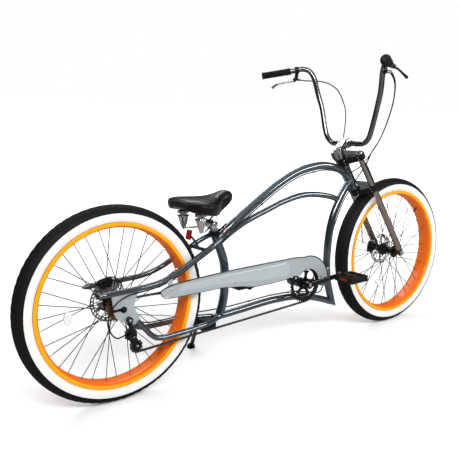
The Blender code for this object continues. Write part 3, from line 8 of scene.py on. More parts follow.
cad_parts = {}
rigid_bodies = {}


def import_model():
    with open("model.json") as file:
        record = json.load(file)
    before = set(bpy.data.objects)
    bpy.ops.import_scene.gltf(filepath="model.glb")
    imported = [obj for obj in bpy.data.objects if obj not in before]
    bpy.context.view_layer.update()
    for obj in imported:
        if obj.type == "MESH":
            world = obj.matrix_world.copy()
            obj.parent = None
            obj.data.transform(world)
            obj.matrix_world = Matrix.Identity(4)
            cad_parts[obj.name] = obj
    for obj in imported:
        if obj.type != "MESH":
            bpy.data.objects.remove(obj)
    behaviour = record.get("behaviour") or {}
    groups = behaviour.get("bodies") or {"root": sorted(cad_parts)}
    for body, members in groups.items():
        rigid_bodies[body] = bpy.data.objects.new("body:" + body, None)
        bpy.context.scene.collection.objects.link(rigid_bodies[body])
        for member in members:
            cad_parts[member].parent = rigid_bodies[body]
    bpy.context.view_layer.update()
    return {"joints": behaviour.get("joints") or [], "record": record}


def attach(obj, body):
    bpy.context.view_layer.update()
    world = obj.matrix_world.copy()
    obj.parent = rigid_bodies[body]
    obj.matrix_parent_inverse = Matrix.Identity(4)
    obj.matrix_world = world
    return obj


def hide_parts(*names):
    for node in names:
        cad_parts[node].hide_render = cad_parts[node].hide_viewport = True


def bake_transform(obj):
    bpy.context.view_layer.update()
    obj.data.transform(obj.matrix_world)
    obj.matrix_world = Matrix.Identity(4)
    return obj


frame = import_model()

# The bicycle's own frame: +X forwards, +Y left, +Z up, origin on the ground under the rear hub
LEAN = math.radians(4.5)
HUB_Z = 0.343
joints = {joint["name"]: joint for joint in frame["joints"]}
turn = Matrix.Rotation(-LEAN, 4, "X")
shift = Vector(joints["rear_wheel_spin"]["pos_m"]) - turn @ Vector((0.0, 0.0, HUB_Z))
BIKE = Matrix.Translation(shift) @ turn
LEFT = Vector((0.0, 1.0, 0.0))
UP = Vector((0.0, 0.0, 1.0))
SIDES = (("left", 1.0), ("right", -1.0))
HEXAGON = 6

# Wheels. The solid tyre stands on the middle of one of its flat facets, which is nearer the hub than a corner
WHEELBASE = 1.4115
TYRE_FACETS = 36
GROUND_RADIUS = HUB_Z * math.cos(math.pi / TYRE_FACETS)
REAR_HUB = Vector((0.0, 0.0, HUB_Z))
FRONT_HUB = Vector((WHEELBASE, 0.0, HUB_Z))
CASING_Y = 0.02
TREAD_REPEAT = 3
TREAD_DEPTH = 0.0013
TREAD_INNER_Y = 0.0115
TREAD_OUTER_Y = 0.03
SHOULDER_RADIUS = 0.3315
WHITE_INNER_RADIUS = 0.2862
WHITE_OUTER_RADIUS = 0.3155
WHITE_FACE_Y = 0.03
RIM_BED_RADIUS = 0.2722
RIM_BED_HALF = 0.0335
ROTOR_HALF = 0.0009
ROTOR_ARM_START = 0.0175
ROTOR_ARM_END = 0.0562
PAD_GAP = 0.0035
SPOKE_COUNT = 36
SPOKE_LACING = math.radians(62.0)
SPOKE_HOLE_RADIUS = 0.0262
SPOKE_END_RADIUS = 0.2655
REAR_ROTOR_Y = 0.043
FRONT_ROTOR_Y = 0.0495

# Steering
HEAD_TILT = math.radians(32.7)
AXIS_UP = Vector((-math.sin(HEAD_TILT), 0.0, math.cos(HEAD_TILT)))
AXIS_FORE = Vector((math.cos(HEAD_TILT), 0.0, math.sin(HEAD_TILT)))
FORK_OFFSET = 0.038
STEER_FOOT = FRONT_HUB - FORK_OFFSET * AXIS_FORE
HEAD_BOTTOM = 0.4005
HEAD_TOP = 0.5223
CROWN_TOP = 0.5568
LEG_Y = 0.07
STEM_HEIGHT = 0.6
CLAMP = STEER_FOOT + AXIS_FORE * 0.05 + AXIS_UP * STEM_HEIGHT
BAR_RADIUS = 0.0111
CABLE_RADIUS = 0.0025

# Drive and rear end
BB = Vector((0.82, 0.0, 0.291))
CRANK_ANGLE = math.radians(6.0)
CRANK_LENGTH = 0.17
RING_TEETH = 38
COG_TEETH = 14
PULLEY_TEETH = 11
DROPOUT_Y = 0.0705
GUARD_Y = -0.069
GUARD_RADIUS = 0.114
GUARD_HOLLOW_RADIUS = 0.06
RING_INNER_RADIUS = 0.061
RING_CENTRE_RADIUS = 0.0225
LINK_END_RADIUS = 0.0041
LINK_WAIST_HALF = 0.0029
ROLLER_RADIUS = 0.0037
ROLLER_HALF = 0.0014
PIN_RADIUS = 0.0017
PIN_HALF = 0.0038
PEDAL_HALF = 0.0475

# Seat
SEAT_TUBE_TOP = Vector((0.4106, 0.0, 0.549))
SEAT_TUBE_WAY = (SEAT_TUBE_TOP - Vector((0.427, 0.0, 0.505))).normalized()
SPRING_X = 0.317
SPRING_Y = 0.06

# Finishes: very dark ones mirror less, so that they don't wash out
COAT_ROUGHNESS = 0.06
DARK_BELOW = 0.02
DARK_SPECULAR = 0.18
ENAMEL_SPECULAR = 0.2
SPECULAR = 0.5
NOISE_DETAIL = 4.0
NOISE_ROUGHNESS = 0.5
TEXTURE_LOW = 0.3
TEXTURE_HIGH = 0.7

# Distance between the points of a smooth curve
FINE_STEP = 0.003
MEDIUM_STEP = 0.006
CABLE_STEP = 0.008
TUBE_STEP = 0.012


def shader(name, base, roughness=0.5, metallic=0.0, coat=0.0):
    """A material with its shader's plain numbers set; returns it with its nodes, links and shader."""
    material = bpy.data.materials.new(name)
    material.use_nodes = True
    nodes = material.node_tree.nodes
    links = material.node_tree.links
    principled = nodes["Principled BSDF"]
    principled.inputs["Base Color"].default_value = (*base, 1.0)
    principled.inputs["Roughness"].default_value = roughness
    principled.inputs["Metallic"].default_value = metallic
    principled.inputs["Coat Weight"].default_value = coat
    principled.inputs["Coat Roughness"].default_value = COAT_ROUGHNESS
    specular = DARK_SPECULAR if max(base) < DARK_BELOW else SPECULAR
    principled.inputs["Specular IOR Level"].default_value = specular
    return material, nodes, links, principled


def noise(nodes, links, scale):
    """Noise over the object's own coordinates."""
    where = nodes.new("ShaderNodeTexCoord")
    made = nodes.new("ShaderNodeTexNoise")
    made.inputs["Scale"].default_value = scale
    made.inputs["Detail"].default_value = NOISE_DETAIL
    made.inputs["Roughness"].default_value = NOISE_ROUGHNESS
    links.new(where.outputs["Object"], made.inputs["Vector"])
    return made


def ramp(nodes, links, source, low, high, colour_low, colour_high):
    """A colour ramp between two values of a texture."""
    made = nodes.new("ShaderNodeValToRGB")
    made.color_ramp.elements[0].position = low
    made.color_ramp.elements[0].color = (*colour_low, 1.0)
    made.color_ramp.elements[1].position = high
    made.color_ramp.elements[1].color = (*colour_high, 1.0)
    links.new(source, made.inputs["Fac"])
    return made


def bump(nodes, links, source, principled, strength, distance):
    """Surface relief from a texture."""
    made = nodes.new("ShaderNodeBump")
    made.inputs["Strength"].default_value = strength
    made.inputs["Distance"].default_value = distance
    links.new(source, made.inputs["Height"])
    links.new(made.outputs["Normal"], principled.inputs["Normal"])


def vary_colour(nodes, links, texture, principled, base, spread):
    """Let the colour run a little darker and lighter with a texture."""
    dark = [c * (1.0 - spread) for c in base]
    light = [min(1.0, c * (1.0 + spread)) for c in base]
    colours = ramp(nodes, links, texture.outputs["Fac"], TEXTURE_LOW, TEXTURE_HIGH, dark, light)
    links.new(colours.outputs["Color"], principled.inputs["Base Color"])


def mottled(name, base, roughness, metallic, coat=0.0, spread=0.12, scale=60.0, relief=0.0, rough_spread=0.1):
    """A finish whose colour and roughness vary a little over the surface."""
    material, nodes, links, principled = shader(name, base, roughness, metallic, coat)
    texture = noise(nodes, links, scale)
    vary_colour(nodes, links, texture, principled, base, spread)
    low = [max(0.0, roughness - rough_spread)] * 3
    high = [min(1.0, roughness + rough_spread)] * 3
    gloss = ramp(nodes, links, texture.outputs["Fac"], TEXTURE_LOW, TEXTURE_HIGH, low, high)
    links.new(gloss.outputs["Color"], principled.inputs["Roughness"])
    if relief:
        bump(nodes, links, texture.outputs["Fac"], principled, relief, 0.0005)
    return material


def grained(name, base, roughness, size, relief, coat=0.0, spread=0.25):
    """A surface of small cells, such as leather or moulded rubber, with its relief."""
    material, nodes, links, principled = shader(name, base, roughness, 0.0, coat)
    where = nodes.new("ShaderNodeTexCoord")
    cells = nodes.new("ShaderNodeTexVoronoi")
    cells.feature = "DISTANCE_TO_EDGE"
    cells.inputs["Scale"].default_value = size
    links.new(where.outputs["Object"], cells.inputs["Vector"])
    valley = ramp(nodes, links, cells.outputs["Distance"], 0.0, 0.25, (0.0, 0.0, 0.0), (1.0, 1.0, 1.0))
    texture = noise(nodes, links, size * 0.05)
    vary_colour(nodes, links, texture, principled, base, spread)
    bump(nodes, links, valley.outputs["Color"], principled, relief, 0.0004)
    return material


paint = mottled("frame_paint", (0.12, 0.148, 0.168), 0.17, 0.85, coat=1.0, spread=0.02, scale=30.0,
                rough_spread=0.01)
silver = mottled("guard_paint", (0.4, 0.44, 0.465), 0.34, 0.15, coat=0.4, spread=0.02, scale=300.0,
                 rough_spread=0.03)
rolled = mottled("guard_edge_paint", (0.07, 0.08, 0.09), 0.26, 0.85, coat=0.6, spread=0.03, scale=300.0,
                 rough_spread=0.02)
alloy = mottled("brushed_alloy", (0.5, 0.51, 0.52), 0.26, 1.0, spread=0.08, scale=180.0, rough_spread=0.08)
chrome = mottled("polished_chrome", (0.8, 0.81, 0.82), 0.13, 1.0, spread=0.03, scale=40.0, rough_spread=0.04)
# The handlebar is chrome like the steerer; its base colour is darkened as a painted reflection of dark
# surroundings.
bar_chrome_painted_dark = mottled("chrome_painted_dark_reflection", (0.2, 0.2, 0.205), 0.2, 1.0, spread=0.04, scale=40.0, rough_spread=0.02)
smoked = mottled("smoked_chrome", (0.42, 0.39, 0.36), 0.11, 1.0, spread=0.05, scale=40.0, rough_spread=0.04)
black = mottled("black_enamel", (0.006, 0.006, 0.0065), 0.24, 0.0, coat=0.15, spread=0.3, scale=80.0)
plastic = mottled("black_plastic_grain", (0.009, 0.009, 0.0095), 0.42, 0.0, spread=0.3, scale=400.0,
                  relief=0.15)
rubber = mottled("tyre_rubber", (0.0055, 0.0055, 0.0055), 0.62, 0.0, spread=0.35, scale=220.0, relief=0.25)
whitewall = mottled("whitewall_rubber", (0.86, 0.855, 0.84), 0.55, 0.0, spread=0.03, scale=30.0, relief=0.04)
grip_rubber = grained("grip_rubber", (0.009, 0.009, 0.009), 0.6, 900.0, 0.4)
orange = mottled("rim_enamel", (1.0, 0.385, 0.002), 0.34, 0.0, coat=0.12, spread=0.03, scale=30.0)
# The spoke bed's red-orange is the rim's own orange darkened as painted shade for the inside of the hoop.
barrel = mottled("rim_bed_painted_shade", (0.92, 0.165, 0.006), 0.36, 0.0, coat=0.12, spread=0.05, scale=30.0)
steel = mottled("spoke_wire", (0.01, 0.01, 0.0105), 0.34, 0.0, coat=0.2, spread=0.2, scale=200.0)
disc = mottled("disc_steel", (0.52, 0.52, 0.53), 0.3, 1.0, spread=0.12, scale=260.0, rough_spread=0.12)
silver_bolt = mottled("bolt_plating", (0.7, 0.7, 0.71), 0.22, 1.0, spread=0.08, scale=400.0)
bronze = mottled("cog_steel", (0.28, 0.2, 0.12), 0.36, 0.95, spread=0.3, scale=120.0)
link_steel = mottled("chain_steel", (0.1, 0.09, 0.08), 0.34, 0.9, spread=0.35, scale=500.0)
leather = grained("saddle_leather", (0.005, 0.005, 0.0054), 0.3, 620.0, 0.35, coat=0.12)
piping = grained("saddle_piping", (0.045, 0.047, 0.05), 0.5, 700.0, 0.3)
red = mottled("red_lens", (0.6, 0.008, 0.012), 0.16, 0.0, coat=0.7, spread=0.2, scale=300.0, relief=0.3)
red_enamel = mottled("red_collar_enamel", (0.7, 0.03, 0.02), 0.25, 0.2, coat=0.6, spread=0.1, scale=300.0)
lens = mottled("white_reflector", (0.8, 0.8, 0.8), 0.18, 0.0, coat=0.8, spread=0.06, scale=500.0, relief=0.4)
amber = mottled("amber_reflector", (0.22, 0.028, 0.003), 0.22, 0.0, coat=0.3, spread=0.15, scale=500.0,
                relief=0.4)
steel_pin = mottled("chain_roller_steel", (0.2, 0.19, 0.17), 0.3, 0.95, spread=0.3, scale=500.0)
panel_paint = mottled("guard_panel_paint", (0.47, 0.51, 0.535), 0.3, 0.15, coat=0.5, spread=0.02, scale=300.0,
                      rough_spread=0.03)
housing = mottled("cable_housing", (0.008, 0.008, 0.0085), 0.34, 0.0, coat=0.2, spread=0.3, scale=300.0)
black_worn = mottled("black_casting", (0.007, 0.007, 0.0075), 0.48, 0.0, spread=0.3, scale=160.0)
for finish in (orange, barrel):
    finish.node_tree.nodes["Principled BSDF"].inputs["Specular IOR Level"].default_value = ENAMEL_SPECULAR

FINISH = {
    "frame_grey": paint, "guard_silver": silver, "chrome": chrome, "black_metal": black_worn,
    "black_plastic": plastic, "rubber": rubber, "rim_orange": orange, "spoke_steel": steel,
    "cog_bronze": bronze, "leather": leather, "red_plastic": red,
}
for part in frame["record"]["subparts"]:
    for place in bpy.data.objects[part["node"]].material_slots:
        place.material = FINISH[part["material_slot"]]


def steer(fore, side, up):
    """A point in the steering frame: ahead of the axis, to the left, and up along it."""
    return STEER_FOOT + AXIS_FORE * fore + Vector((0.0, side, 0.0)) + AXIS_UP * up


def ray(angle):
    """The direction square to Y at this angle above +X."""
    return Vector((math.cos(angle), 0.0, math.sin(angle)))


def spline(before, start, stop, after, t):
    """The value at a share of the way from start to stop, smoothly through all four."""
    square = 2.0 * before - 5.0 * start + 4.0 * stop - after
    cube = 3.0 * start - before - 3.0 * stop + after
    return 0.5 * (2.0 * start + (stop - before) * t + square * t * t + cube * t * t * t)


def curve_through(points, step):
    """Points about one step apart on a smooth curve through the given ones."""
    knots = [Vector(p) for p in points]
    ends = [2.0 * knots[0] - knots[1]] + knots + [2.0 * knots[-1] - knots[-2]]
    route = []
    for before, start, stop, after in zip(ends, ends[1:], ends[2:], ends[3:]):
        count = max(1, round((stop - start).length / step))
        for k in range(count):
            route.append(spline(before, start, stop, after, k / count))
    route.append(knots[-1])
    return route


def bridge(bm, rings, loop=False, caps=True):
    """Faces between rings of equally many vertices."""
    pairs = list(zip(rings, rings[1:]))
    if loop:
        pairs.append((rings[-1], rings[0]))
    count = len(rings[0])
    made = []
    for low, high in pairs:
        for k in range(count):
            after = (k + 1) % count
            made.append(bm.faces.new((low[k], low[after], high[after], high[k])))
    if caps and not loop:
        made.append(bm.faces.new(list(reversed(rings[0]))))
        made.append(bm.faces.new(rings[-1]))
    return made


def tube(bm, route, radii, sides, flat=1.0):
    """A round bar along a route; radii is one number or one for each point; flat narrows it sideways."""
    if not isinstance(radii, (list, tuple)):
        radii = [radii] * len(route)
    across = LEFT
    first = (route[1] - route[0]).normalized()
    if abs(across.dot(first)) > 0.9:
        across = UP
    rings = []
    for k, point in enumerate(route):
        way = (route[min(k + 1, len(route) - 1)] - route[max(k - 1, 0)]).normalized()
        across = (across - way * across.dot(way)).normalized()
        other = way.cross(across)
        ring = []
        for j in range(sides):
            angle = 2.0 * math.pi * j / sides
            offset = flat * math.cos(angle) * across + math.sin(angle) * other
            ring.append(bm.verts.new(point + radii[k] * offset))
        rings.append(ring)
    bridge(bm, rings)


def bar(bm, start, way, places, radii, sides):
    """A straight round bar through places along a way; radii is one number or one for each place."""
    tube(bm, [start + way * place for place in places], radii, sides)


def mirrored(half):
    """A profile of (radius, y) from its left half: the half, and its mirror image back to front."""
    return half + [(r, -y) for r, y in reversed(half)]


def lathe(bm, profile, centre, axis="Y", segments=72):
    """A turned form from (radius, place along the axis); the profile closes on itself."""
    rings = []
    for k in range(segments):
        angle = 2.0 * math.pi * k / segments
        ring = []
        for radius, along in profile:
            if axis == "Y":
                offset = Vector((radius * math.cos(angle), along, radius * math.sin(angle)))
            else:
                offset = AXIS_FORE * (radius * math.cos(angle)) + AXIS_UP * along
                offset.y = radius * math.sin(angle)
            ring.append(bm.verts.new(Vector(centre) + offset))
        rings.append(ring)
    return bridge(bm, rings, loop=True)


def slab(bm, outline, y_low, y_high):
    """A flat plate square to Y from its outline of (x, z)."""
    rings = [[bm.verts.new((x, y, z)) for x, z in outline] for y in (y_low, y_high)]
    bridge(bm, rings)


def block(bm, low, high):
    """A block between two corners."""
    outline = [(low[0], low[2]), (high[0], low[2]), (high[0], high[2]), (low[0], high[2])]
    slab(bm, outline, low[1], high[1])


def bolt(bm, start, way, radius, height):
    """A bolt head with a round washer under it."""
    way = Vector(way).normalized()
    start = Vector(start)
    tube(bm, [start, start + way * height * 0.3], radius * 1.25, 20)
    tube(bm, [start + way * height * 0.3, start + way * height * 0.9, start + way * height],
         [radius, radius, radius * 0.85], HEXAGON)


def add(name, bm, material, body, old=(), bevel=0.0, smooth=40.0, subdivide=0):
    """Place a piece drawn in the bicycle's own frame, give it its finish and let it ride on its body."""
    bmesh.ops.recalc_face_normals(bm, faces=bm.faces[:])
    mesh = bpy.data.meshes.new(name)
    bm.to_mesh(mesh)
    bm.free()
    mesh.transform(BIKE)
    for finish in material if isinstance(material, (list, tuple)) else [material]:
        mesh.materials.append(finish)
    mesh.shade_smooth()
    if smooth < 180.0:
        mesh.set_sharp_from_angle(angle=math.radians(smooth))
    made = bpy.data.objects.new(name, mesh)
    bpy.context.collection.objects.link(made)
    if bevel:
        rounding = made.modifiers.new("rounded_edges", "BEVEL")
        rounding.width = bevel
        rounding.segments = 2
        rounding.limit_method = "ANGLE"
        rounding.angle_limit = math.radians(40.0)
    if subdivide:
        finer = made.modifiers.new("finer", "SUBSURF")
        finer.levels = subdivide
        finer.render_levels = subdivide
    if body:
        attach(made, body)
    if old:
        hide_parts(*old)
    return made


def tyre(label, hub, body):
    """Tyre: black tread in blocks, white sidewall, black bead."""
    half = [
        (0.2775, 0.03), (0.286, 0.031), (0.29, 0.0335), (0.296, 0.0362), (0.304, 0.0378),
        (0.311, 0.0372), (0.315, 0.0364), (0.32, 0.0348), (0.3245, 0.033), (0.3285, 0.03),
        (0.3325, 0.0258), (0.3345, 0.0232), (0.3352, 0.0222), (0.3372, 0.0195), (0.3392, 0.015),
        (0.3386, 0.0142), (0.3386, 0.0128), (0.3402, 0.0118), (0.3412, 0.006), (0.3404, 0.0052),
        (0.3404, 0.004), (GROUND_RADIUS - 0.0002, 0.003),
    ]
    profile = mirrored(half)
    profile += [(0.279, -0.026), (0.335, -CASING_Y), (0.335, CASING_Y), (0.279, 0.026)]
    bm = bmesh.new()
    segments = 216
    faces = lathe(bm, profile, hub, segments=segments)
    count = len(profile)
    bm.verts.ensure_lookup_table()
    for k in range(segments):
        for j, (radius, y) in enumerate(profile):
            between_blocks = (k + (1 if y > 0.0 else 0)) % TREAD_REPEAT == 0
            on_tread = radius > SHOULDER_RADIUS and TREAD_INNER_Y < abs(y) < TREAD_OUTER_Y
            if between_blocks and on_tread and abs(y) != CASING_Y:
                vert = bm.verts[k * count + j]
                out = Vector((vert.co.x - hub.x, 0.0, vert.co.z - hub.z)).normalized()
                vert.co -= out * TREAD_DEPTH
    for face in faces:
        spot = face.calc_center_median() - hub
        radius = math.hypot(spot.x, spot.z)
        if WHITE_INNER_RADIUS < radius < WHITE_OUTER_RADIUS and abs(spot.y) > WHITE_FACE_Y:
            face.material_index = 1
    add(label + "_tyre_dressed", bm, [rubber, whitewall], body, (label + "_tyre",), smooth=50.0)


def rim(label, hub, body):
    """Rim: a wide deep-section hoop with rolled lips and a dished spoke bed; the bed takes a darker
    red-orange, which is painted shade.
    """
    half = [
        (0.2846, 0.0326), (0.2855, 0.0336), (0.2855, 0.0346), (0.2848, 0.0354), (0.279, 0.0355),
        (0.2735, 0.035), (0.2722, 0.034), (0.2712, 0.031), (0.268, 0.0275), (0.2666, 0.0235),
        (0.2663, 0.012), (0.2663, 0.002),
    ]
    inner = [(0.2695, 0.002), (0.27, 0.023), (0.277, 0.03), (0.2846, 0.0312)]
    profile = mirrored(half)
    profile += [(r, -y) for r, y in reversed(inner)] + inner
    bm = bmesh.new()
    faces = lathe(bm, profile, hub, segments=144)
    # The bed's faces take the darker orange: painted shade inside the hoop.
    for face in faces:
        spot = face.calc_center_median() - hub
        if math.hypot(spot.x, spot.z) < RIM_BED_RADIUS and abs(spot.y) < RIM_BED_HALF:
            face.material_index = 1
    add(label + "_rim_dressed", bm, [orange, barrel], body, (label + "_rim",), smooth=60.0)


def spokes_and_hub(label, hub, flange_y, hub_half, body):
    """Hub shell with drilled flanges, and crossed spokes with their heads and nipples."""
    bm = bmesh.new()
    half = [
        (0.006, hub_half), (0.012, hub_half), (0.0128, hub_half - 0.001), (0.0165, hub_half - 0.0018),
        (0.017, flange_y + 0.0035), (0.019, flange_y + 0.0022), (0.028, flange_y + 0.0018),
        (0.029, flange_y + 0.0006), (0.029, flange_y - 0.0006), (0.028, flange_y - 0.0018),
        (0.0195, flange_y - 0.0024), (0.0172, flange_y - 0.006), (0.015, flange_y * 0.45), (0.0146, 0.0),
    ]
    profile = half + [(r, -y) for r, y in reversed(half[:-1])]
    lathe(bm, profile, hub, segments=48)
    add(label + "_hub_dressed", bm, black, body, (label + "_hub_and_spokes",), smooth=35.0)
    wires = bmesh.new()
    nipples = bmesh.new()
    for k in range(SPOKE_COUNT):
        side = 1.0 if k % 2 else -1.0
        lead = 1.0 if (k // 2) % 2 else -1.0
        rim_angle = 2.0 * math.pi * k / SPOKE_COUNT
        hub_angle = rim_angle - lead * SPOKE_LACING
        start_y = side * (flange_y + lead * 0.0028)
        start = hub + Vector((SPOKE_HOLE_RADIUS * math.cos(hub_angle), start_y,
                              SPOKE_HOLE_RADIUS * math.sin(hub_angle)))
        stop = hub + Vector((SPOKE_END_RADIUS * math.cos(rim_angle), side * 0.006,
                             SPOKE_END_RADIUS * math.sin(rim_angle)))
        way = (stop - start).normalized()
        head = start - Vector((0.0, side * lead * 0.0052, 0.0))
        tube(wires, [head - Vector((0.0, side * lead * 0.0012, 0.0)), head, start, start + way * 0.002, stop],
             [0.0024, 0.0016, 0.0015, 0.0014, 0.0014], 8)
        tube(nipples, [stop - way * 0.013, stop - way * 0.0125, stop - way * 0.003, stop + way * 0.0015],
             [0.0015, 0.0019, 0.002, 0.0026], 8)
    add(label + "_spokes_dressed", wires, steel, body)
    add(label + "_nipples", nipples, alloy, body)


def rotor(label, hub, y, body, old=()):
    """Brake disc: a slotted ring on slanted arms, with its bolts."""
    bm = bmesh.new()
    thick = ROTOR_HALF
    for inner, outer in ((0.0652, 0.07), (0.0552, 0.0588)):
        lathe(bm, [(inner, y - thick), (outer, y - thick), (outer, y + thick), (inner, y + thick)], hub,
              segments=96)

    def strip(start_radius, stop_radius, start_angle, stop_angle, width):
        start = ray(start_angle) * start_radius
        stop = ray(stop_angle) * stop_radius
        across = Vector((-(stop - start).z, 0.0, (stop - start).x)).normalized() * width
        corners = [start - across, stop - across, stop + across, start + across]
        slab(bm, [(hub.x + c.x, hub.z + c.z) for c in corners], y - thick * 0.9, y + thick * 0.9)

    for k in range(30):
        angle = 2.0 * math.pi * k / 30
        strip(0.058, 0.066, angle, angle + math.radians(5.0), 0.0021)
    for k in range(6):
        angle = math.pi * k / 3.0
        strip(ROTOR_ARM_START, ROTOR_ARM_END, angle, angle + math.radians(28.0), 0.0034)
        strip(ROTOR_ARM_START, ROTOR_ARM_END, angle + math.radians(52.0), angle + math.radians(30.0), 0.0022)
    lathe(bm, [(0.009, y - thick), (0.0205, y - thick), (0.0205, y + thick), (0.009, y + thick)], hub,
          segments=48)
    add(label, bm, disc, body, old, smooth=30.0)
    bm = bmesh.new()
    for k in range(6):
        angle = math.pi * (k + 0.5) / 3.0
        spot = hub + Vector((0.0165 * math.cos(angle), y + thick, 0.0165 * math.sin(angle)))
        bolt(bm, spot, (0.0, 1.0, 0.0), 0.0024, 0.002)
    add(label + "_bolts", bm, silver_bolt, body)


def wheels():
    """Both wheels."""
    for label, hub, flange_y, hub_half in (("rear", REAR_HUB, 0.027, 0.034),
                                           ("front", FRONT_HUB, 0.033, 0.047)):
        body = label + "_wheel"
        tyre(label, hub, body)
        rim(label, hub, body)
        spokes_and_hub(label, hub, flange_y, hub_half, body)
    for label, hub, angle in (("rear", REAR_HUB, 0.05), ("front", FRONT_HUB, 0.76)):
        out = ray(angle)
        bm = bmesh.new()
        stations = [(0.24, 0.0024), (0.2412, 0.0032), (0.248, 0.0034), (0.249, 0.0026), (0.268, 0.0028)]
        bar(bm, hub, out, *zip(*stations), 16)
        add(label + "_valve", bm, plastic, label + "_wheel")
    rotor("rear_rotor_dressed", REAR_HUB, REAR_ROTOR_Y, "rear_wheel")
    rotor("front_rotor_dressed", FRONT_HUB, FRONT_ROTOR_Y, "front_wheel", ("front_rotor",))


TUBES = {
    "top_tube": (
        [steer(-0.004, 0.0, HEAD_TOP - 0.07), steer(-0.0101, 0.0, HEAD_TOP - 0.0577),
         steer(-0.019, 0.0, HEAD_TOP - 0.0319), steer(-0.0281, 0.0, HEAD_TOP - 0.0117),
         steer(-0.0432, 0.0, HEAD_TOP + 0.0111), (1.016, 0, 0.759), (0.958, 0, 0.765), (0.901, 0, 0.76),
         (0.84, 0, 0.749), (0.786, 0, 0.731), (0.733, 0, 0.707), (0.682, 0, 0.68), (0.582, 0, 0.62),
         (0.5, 0, 0.568), (0.46, 0, 0.542), (0.425, 0, 0.517)], 0.016, 0.0115),
    "arch_tube": (
        [(1.069, 0, 0.612), (1.015, 0, 0.63), (0.955, 0, 0.642), (0.898, 0, 0.648), (0.842, 0, 0.647),
         (0.787, 0, 0.638), (0.734, 0, 0.626), (0.682, 0, 0.609), (0.582, 0, 0.577), (0.52, 0, 0.551),
         (0.47, 0, 0.524), (0.43, 0, 0.499)], 0.012, 0.0115),
    "down_tube": (
        [steer(0.0008, 0.0, HEAD_BOTTOM + 0.044), steer(-0.0321, 0.0, HEAD_BOTTOM + 0.0354),
         steer(-0.0773, 0.0, HEAD_BOTTOM + 0.0205), (1.058, 0, 0.59), (1.035, 0, 0.544), (1.018, 0, 0.493),
         (1.008, 0, 0.441), (1.003, 0, 0.389), (1.002, 0, 0.331), (1.006, 0, 0.276), (1.017, 0, 0.225),
         (1.0515, 0, 0.107)], 0.0155, 0.0155),
    "lower_tube": (
        [(1.1, 0, 0.14), (1.036, 0, 0.16), (0.966, 0, 0.186), (0.906, 0, 0.205), (0.848, 0, 0.218),
         (0.792, 0, 0.225),
         (0.737, 0, 0.228), (0.683, 0, 0.229), (0.631, 0, 0.227), (0.531, 0, 0.221), (0.435, 0, 0.216),
         (0.4005, 0, 0.214)], 0.014, 0.014),
    "seat_tube": (
        [(0.4106, 0, 0.549), (0.427, 0, 0.505), (0.444, 0, 0.462), (0.455, 0, 0.425), (0.459, 0, 0.38),
         (0.458, 0, 0.335), (0.454, 0, 0.295), (0.445, 0, 0.257), (0.435, 0, 0.23), (0.432, 0, 0.222)],
        0.0165, 0.0165),
    "bottom_bracket_strut": ([(0.826, 0, 0.2895), (0.91, 0, 0.271), (1.002, 0, 0.251)], 0.0125, 0.0125),
}
MITRE_CORNER = Vector((1.036, 0.0, 0.16))
MITRE = {"down_tube": Vector((-0.7233, 0.0, -0.6906)), "lower_tube": Vector((0.7233, 0.0, 0.6906))}
STAYS = {
    "seat_stay": (
        [(-0.08, 0.0705, 0.4), (-0.01, 0.0705, 0.4025), (0.058, 0.07, 0.404), (0.14, 0.064, 0.409),
         (0.2, 0.059, 0.425), (0.25, 0.056, 0.4465), (0.3, 0.055, 0.471), (0.344, 0.054, 0.4925),
         (0.396, 0.048, 0.5165), (0.434, 0.031, 0.534), (0.462, 0.011, 0.5445)], 0.0098),
    "chain_stay": (
        [(0.048, 0.0705, 0.293), (0.078, 0.0705, 0.259), (0.102, 0.0705, 0.231), (0.134, 0.0685, 0.214),
         (0.2, 0.064, 0.212), (0.28, 0.058, 0.2135), (0.34, 0.048, 0.215), (0.41, 0.018, 0.2155)],
        0.0098),
}


